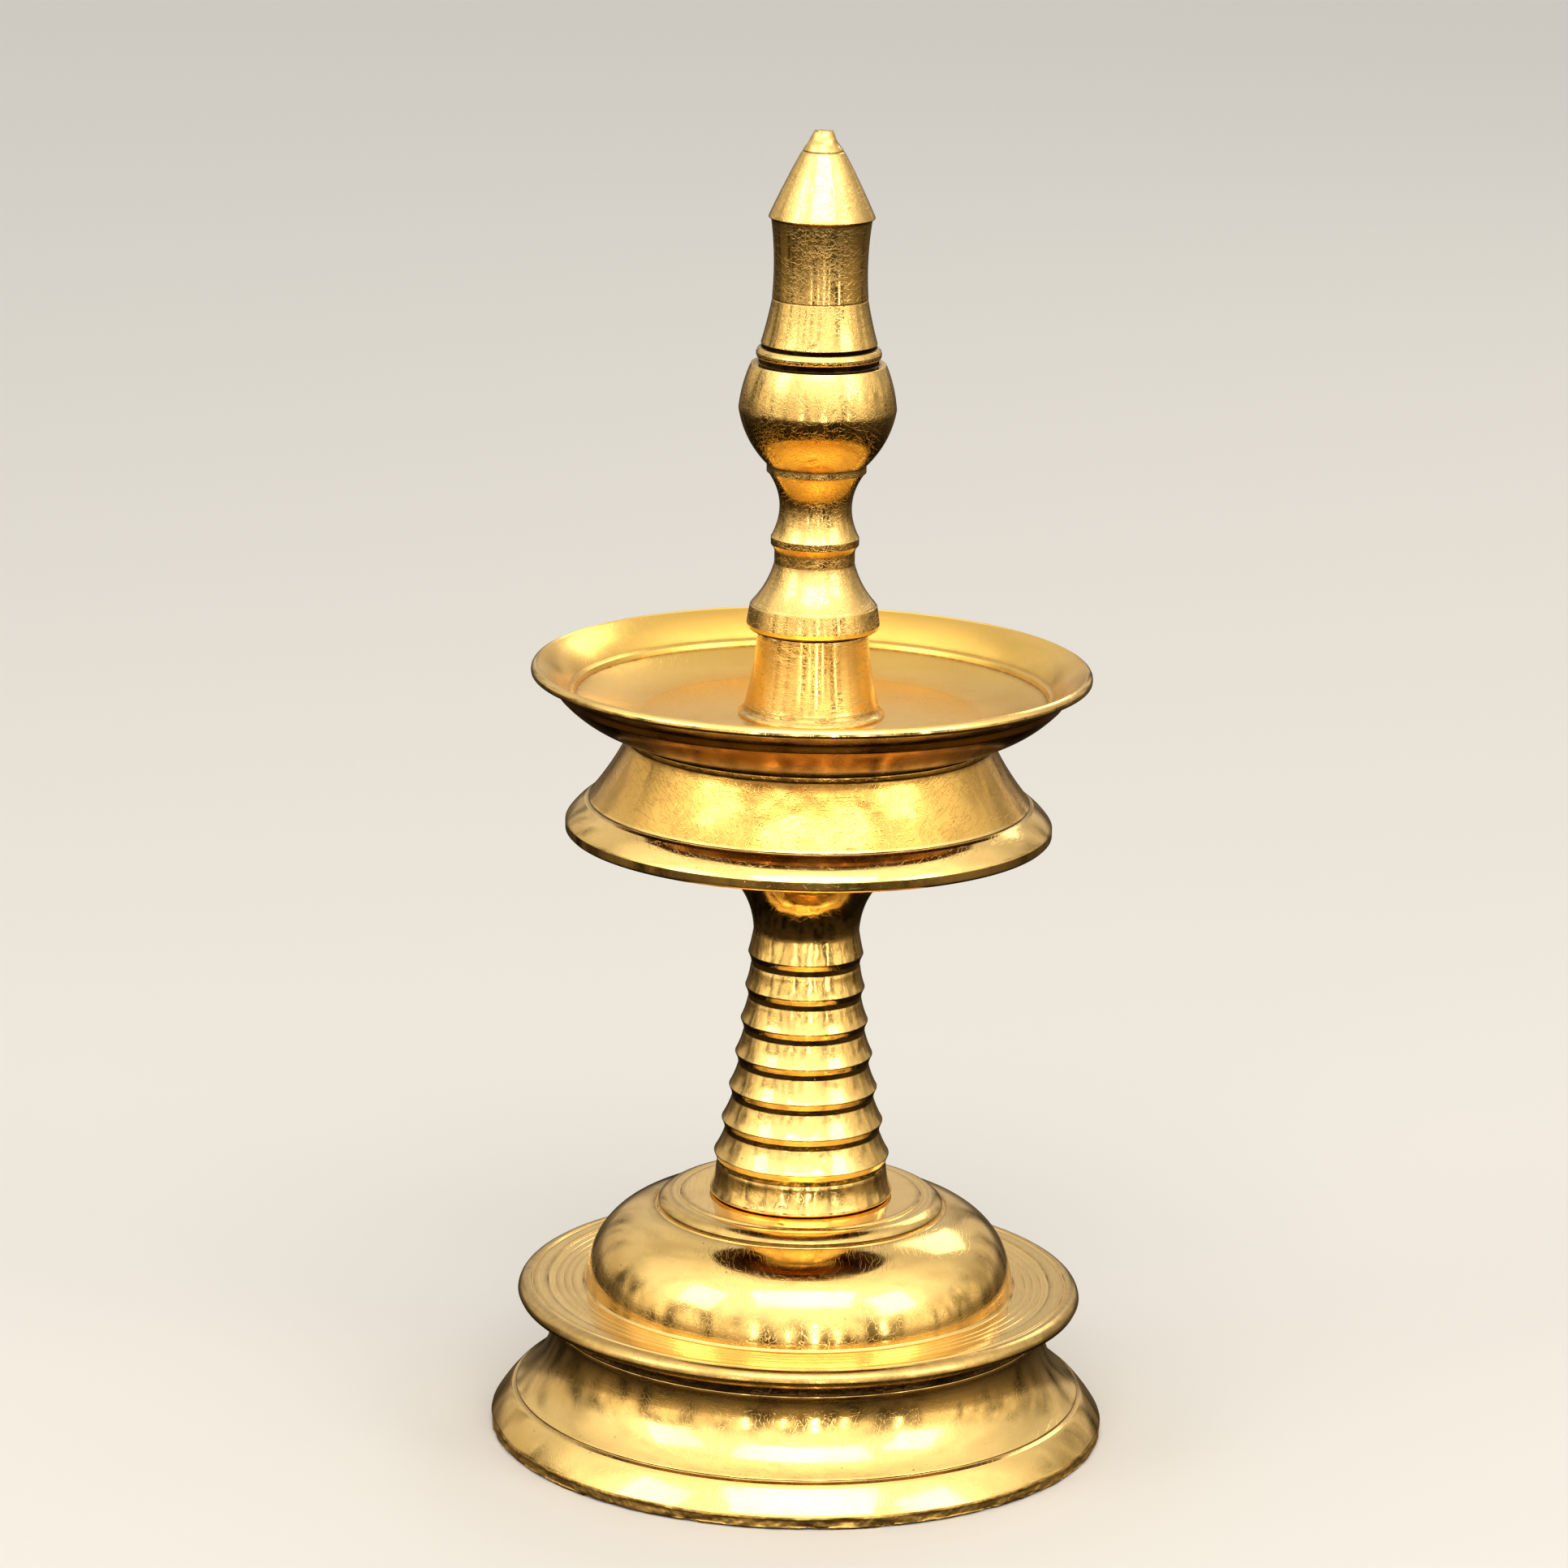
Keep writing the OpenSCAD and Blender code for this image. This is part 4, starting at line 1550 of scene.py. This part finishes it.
        path.bow(self.bell_r + 0.1, self.line_z - 0.12, -0.08).to(self.bell_r, self.line_z)
        path.to(self.bell_r + 0.1, self.line_z + 0.12).bow(self.bell_r + 1.5 * EDGE, self.cone_z - EDGE, -0.3)
        path.to(self.cone_r - EDGE / 2, self.cone_z - EDGE / 2).to(self.cone_r, self.cone_z)
        path.to(self.cone_r - EDGE / 3, self.cone_z + EDGE)
        path.bow(self.nub_r + SCRIBE / 2, self.nub_z - SCRIBE / 2, 0.1)
        path.to(self.nub_r - SCRIBE / 3, self.nub_z)
        path.to(self.nub_r - SCRIBE / 4, self.nub_z + SCRIBE / 2).bow(self.tip_r + 0.05, height - EDGE, 0.04)
        return path.to(self.tip_r - EDGE / 2, height - 0.04, Cut.CURVED).to(0.0, height - 0.01, Cut.CURVED)


@dataclass
class Stud:
    """A threaded stud that holds two castings together.

    Attributes:
        node: CAD node it stands for.
        body: body of the casting that it is fixed in, so that its thread turns with that.
        pitch: pitch of the thread.
        depth: depth of the thread.
        lead: chamfer at each end.
    """

    node: str
    body: str
    pitch: float = 1.27
    depth: float = 0.81
    lead: float = 0.6

    def build(self) -> list[Piece]:
        """Makes the stud with a real thread.

        Returns:
            The piece.
        """
        r, low, high = span(self.node)
        outline = Outline([(0.0, low)], closed=False)
        outline.to(r - self.lead, low).to(r, low + self.lead)
        steps = math.ceil((high - low - 2 * self.lead) / (self.pitch / 12))
        rise = (high - low - 2 * self.lead) / steps
        outline.points += [(r, low + self.lead + rise * i) for i in range(1, steps + 1)]
        outline.to(r - self.lead, high).to(0.0, high)

        def relief(theta: Rows, _lay: Rows, rad: Rows, z: Rows) -> Rows:
            """A right-handed vee thread, rounded at crest and root."""
            phase = (z / self.pitch - theta / FULL_TURN) % 1
            vee = 0.5 - 0.5 * np.cos(FULL_TURN * phase)
            ends = np.clip((z - low) / self.pitch, 0, 1) * np.clip((high - z) / self.pitch, 0, 1)
            return -self.depth * (1 - vee) * ends * (rad > r - 0.05)

        stud = Casting(outline, (CUT_THREAD,), self.body, self.node, "threaded_brass", relief, ease=0.05)
        return [stud.make()]


# ---------------- studio

# The room that the brass mirrors, from straight down (0) to straight up (1)
ROOM_TONES = (
    (0.0, "#120D07"),
    (1.0, "#F4E8D6"),
    (0.30, "#2C2418"),
    (0.42, "#6E604A"),
    (0.49, "#94866C"),
    (0.53, "#E0D2B8"),
    (0.62, "#F0E4CC"),
    (0.70, "#FFFAF0"),
    (0.90, "#FFFAF0"),
)


@dataclass(frozen=True)
class SoftLight:
    """One rectangular studio light.

    Attributes:
        name: what it is.
        turn: degrees round from the front, positive to the right.
        lift: degrees above the table.
        away: distance from the lamp, in metres.
        wide: width in metres.
        tall: height in metres.
        glow: brightness of its face.
        colour: colour of its light.
    """

    name: str
    turn: float
    lift: float
    away: float
    wide: float
    tall: float
    glow: float
    colour: str = "#FFF6E6"

    def place(self, aim: Vector) -> None:
        """Puts the light up, facing the lamp.

        Args:
            aim: point that it faces.
        """
        data = bpy.data.lights.new(self.name, "AREA")
        data.shape, data.size, data.size_y = "RECTANGLE", self.wide, self.tall
        data.energy, data.color = self.glow * math.pi * self.wide * self.tall, linear(self.colour)[:3]
        lamp = bpy.data.objects.new(self.name, data)
        bpy.context.scene.collection.objects.link(lamp)
        turn, lift = math.radians(self.turn), math.radians(self.lift)
        way = Vector((math.sin(turn) * math.cos(lift), -math.cos(turn) * math.cos(lift), math.sin(lift)))
        lamp.location = aim + way * self.away
        lamp.rotation_euler = way.to_track_quat("Z", "Y").to_euler()
        lamp.visible_camera = False


@dataclass
class Studio:
    """Floor, sky, lights and camera.

    Attributes:
        distance: of the camera from the lamp's axis, level, in millimetres.
        height: of the camera over the table.
        pitch: degrees that it looks down.
        yaw: degrees that it is turned to the left of the lamp.
        roll: degrees that it is tilted.
        view: its field of view in degrees.
        floor: side of the floor, in metres.
    """

    distance: float = 814.0
    height: float = 298.6
    pitch: float = 13.95
    yaw: float = 0.257
    roll: float = 1.2
    view: float = 15.25
    floor: float = 14.0

    def build(self) -> None:
        """Sets everything up round the lamp."""
        bpy.context.scene.view_settings.view_transform = "Standard"
        self._lay_floor()
        self._fill_sky()
        aim = Vector((0, 0, 0.09))
        for light in (
            SoftLight("Overhead_soft_box", 4, 50, 1.1, 0.95, 0.5, 4.1),
            SoftLight("Left_soft_box", -60, 32, 1.1, 0.4, 0.5, 3.0),
            SoftLight("Right_soft_box", 58, 30, 1.1, 0.4, 0.5, 3.4),
            SoftLight("Left_strip", -22, 4, 1.0, 0.05, 0.26, 6.0),
            SoftLight("Middle_strip", -5, 1, 1.0, 0.03, 0.20, 7.0),
            SoftLight("Right_strip", 9, 4, 1.0, 0.05, 0.34, 9.0),
            SoftLight("Inner_right_strip", 21, 1, 1.0, 0.025, 0.24, 7.0),
            SoftLight("Far_right_strip", 46, 4, 1.0, 0.05, 0.26, 6.0),
            SoftLight("Back_fill", 150, 34, 1.4, 0.5, 0.4, 2.5),
        ):
            light.place(aim)
        self._set_camera()

    def _lay_floor(self) -> None:
        """A plain pale floor."""
        half = self.floor / 2
        mesh = bpy.data.meshes.new("Floor")
        corners = [(-half, -half, 0), (half, -half, 0), (half, half, 0), (-half, half, 0)]
        mesh.from_pydata(corners, [], [(0, 1, 2, 3)])
        floor = bpy.data.objects.new("Floor", mesh)
        bpy.context.scene.collection.objects.link(floor)
        paper = bpy.data.materials.new("Matt studio paper")
        paper.use_nodes = True
        shader = paper.node_tree.nodes["Principled BSDF"]
        shader.inputs["Base Color"].default_value = linear("#DCDAD6")
        shader.inputs["Roughness"].default_value = 0.75
        mesh.materials.append(paper)
        floor.visible_glossy = False

    def _fill_sky(self) -> None:
        """A dim warm room to be mirrored in the brass, which the camera sees as pale paper."""
        world = bpy.data.worlds.new("Studio room")
        bpy.context.scene.world = world
        world.use_nodes = True
        tree = world.node_tree
        tree.nodes.clear()
        way = add_node(tree, "TexCoord").outputs["Generated"]
        split = add_node(tree, "SeparateXYZ", None, {0: way})
        lift = remap(tree, split.outputs["Z"], (-1.0, 1.0), (0.0, 1.0))
        ramp = add_node(tree, "ValToRGB", None, {0: lift})
        for i, (height, tone) in enumerate(ROOM_TONES):
            stop = ramp.color_ramp.elements[i] if i < 2 else ramp.color_ramp.elements.new(height)
            stop.position, stop.color = height, linear(tone)
        drawn = add_node(tree, "VectorMath", {"operation": "MULTIPLY"}, {0: way, 1: (6.0, 6.0, 1.2)})
        noise = {"Vector": drawn.outputs[0], "Scale": 1.0, "Detail": 2.5}
        walls = add_node(tree, "TexNoise", None, noise).outputs["Fac"]
        calm = remap(tree, split.outputs["Z"], (0.2, 0.45), (0.32, 1.7))
        patch = remap(tree, walls, (0.38, 0.56), (calm, 2.1))
        behind = remap(tree, split.outputs["Y"], (-0.2, 0.5), (1.0, 0.42))
        share = reckon(tree, "MULTIPLY", patch, behind)
        tones = {"Color": ramp.outputs["Color"], "Strength": share}
        room = add_node(tree, "Background", None, tones).outputs[0]
        paper = add_node(tree, "Background", None, {"Color": linear("#F2F0EC"), "Strength": 0.85}).outputs[0]
        mirrored = add_node(tree, "LightPath").outputs["Is Glossy Ray"]
        mixed = add_node(tree, "MixShader", None, {0: mirrored, 1: paper, 2: room}).outputs[0]
        add_node(tree, "OutputWorld", None, {"Surface": mixed})

    def _set_camera(self) -> None:
        """The camera, in front and a little above the dish."""
        data = bpy.data.cameras.new("Camera")
        data.sensor_width = 36.0
        data.angle = math.radians(self.view)
        data.clip_start, data.clip_end = 0.01, 50.0
        camera = bpy.data.objects.new("Camera", data)
        bpy.context.scene.collection.objects.link(camera)
        camera.location = (0, -self.distance * MM, self.height * MM)
        level = Euler((math.radians(90 - self.pitch), 0, math.radians(self.yaw)))
        turn = Euler((0, 0, math.radians(self.roll)))
        camera.rotation_euler = (level.to_matrix() @ turn.to_matrix()).to_euler()
        bpy.context.scene.camera = camera


# ---------------- building


def main() -> None:
    """Builds the lamp from the table up, then the studio, and reports each piece."""
    logging.basicConfig(level=logging.INFO, format="%(message)s")
    parts = (
        Base(),
        Stem(),
        Dish(),
        Finial(),
        Stud("lower_stud", "stem"),
        Stud("upper_stud", "stem"),
        Stud("finial_stud", "finial"),
    )
    for part in parts:
        for piece in part.build():
            log.info("made %s", piece.name)
    Studio().build()


if __name__ == "__main__":
    main()
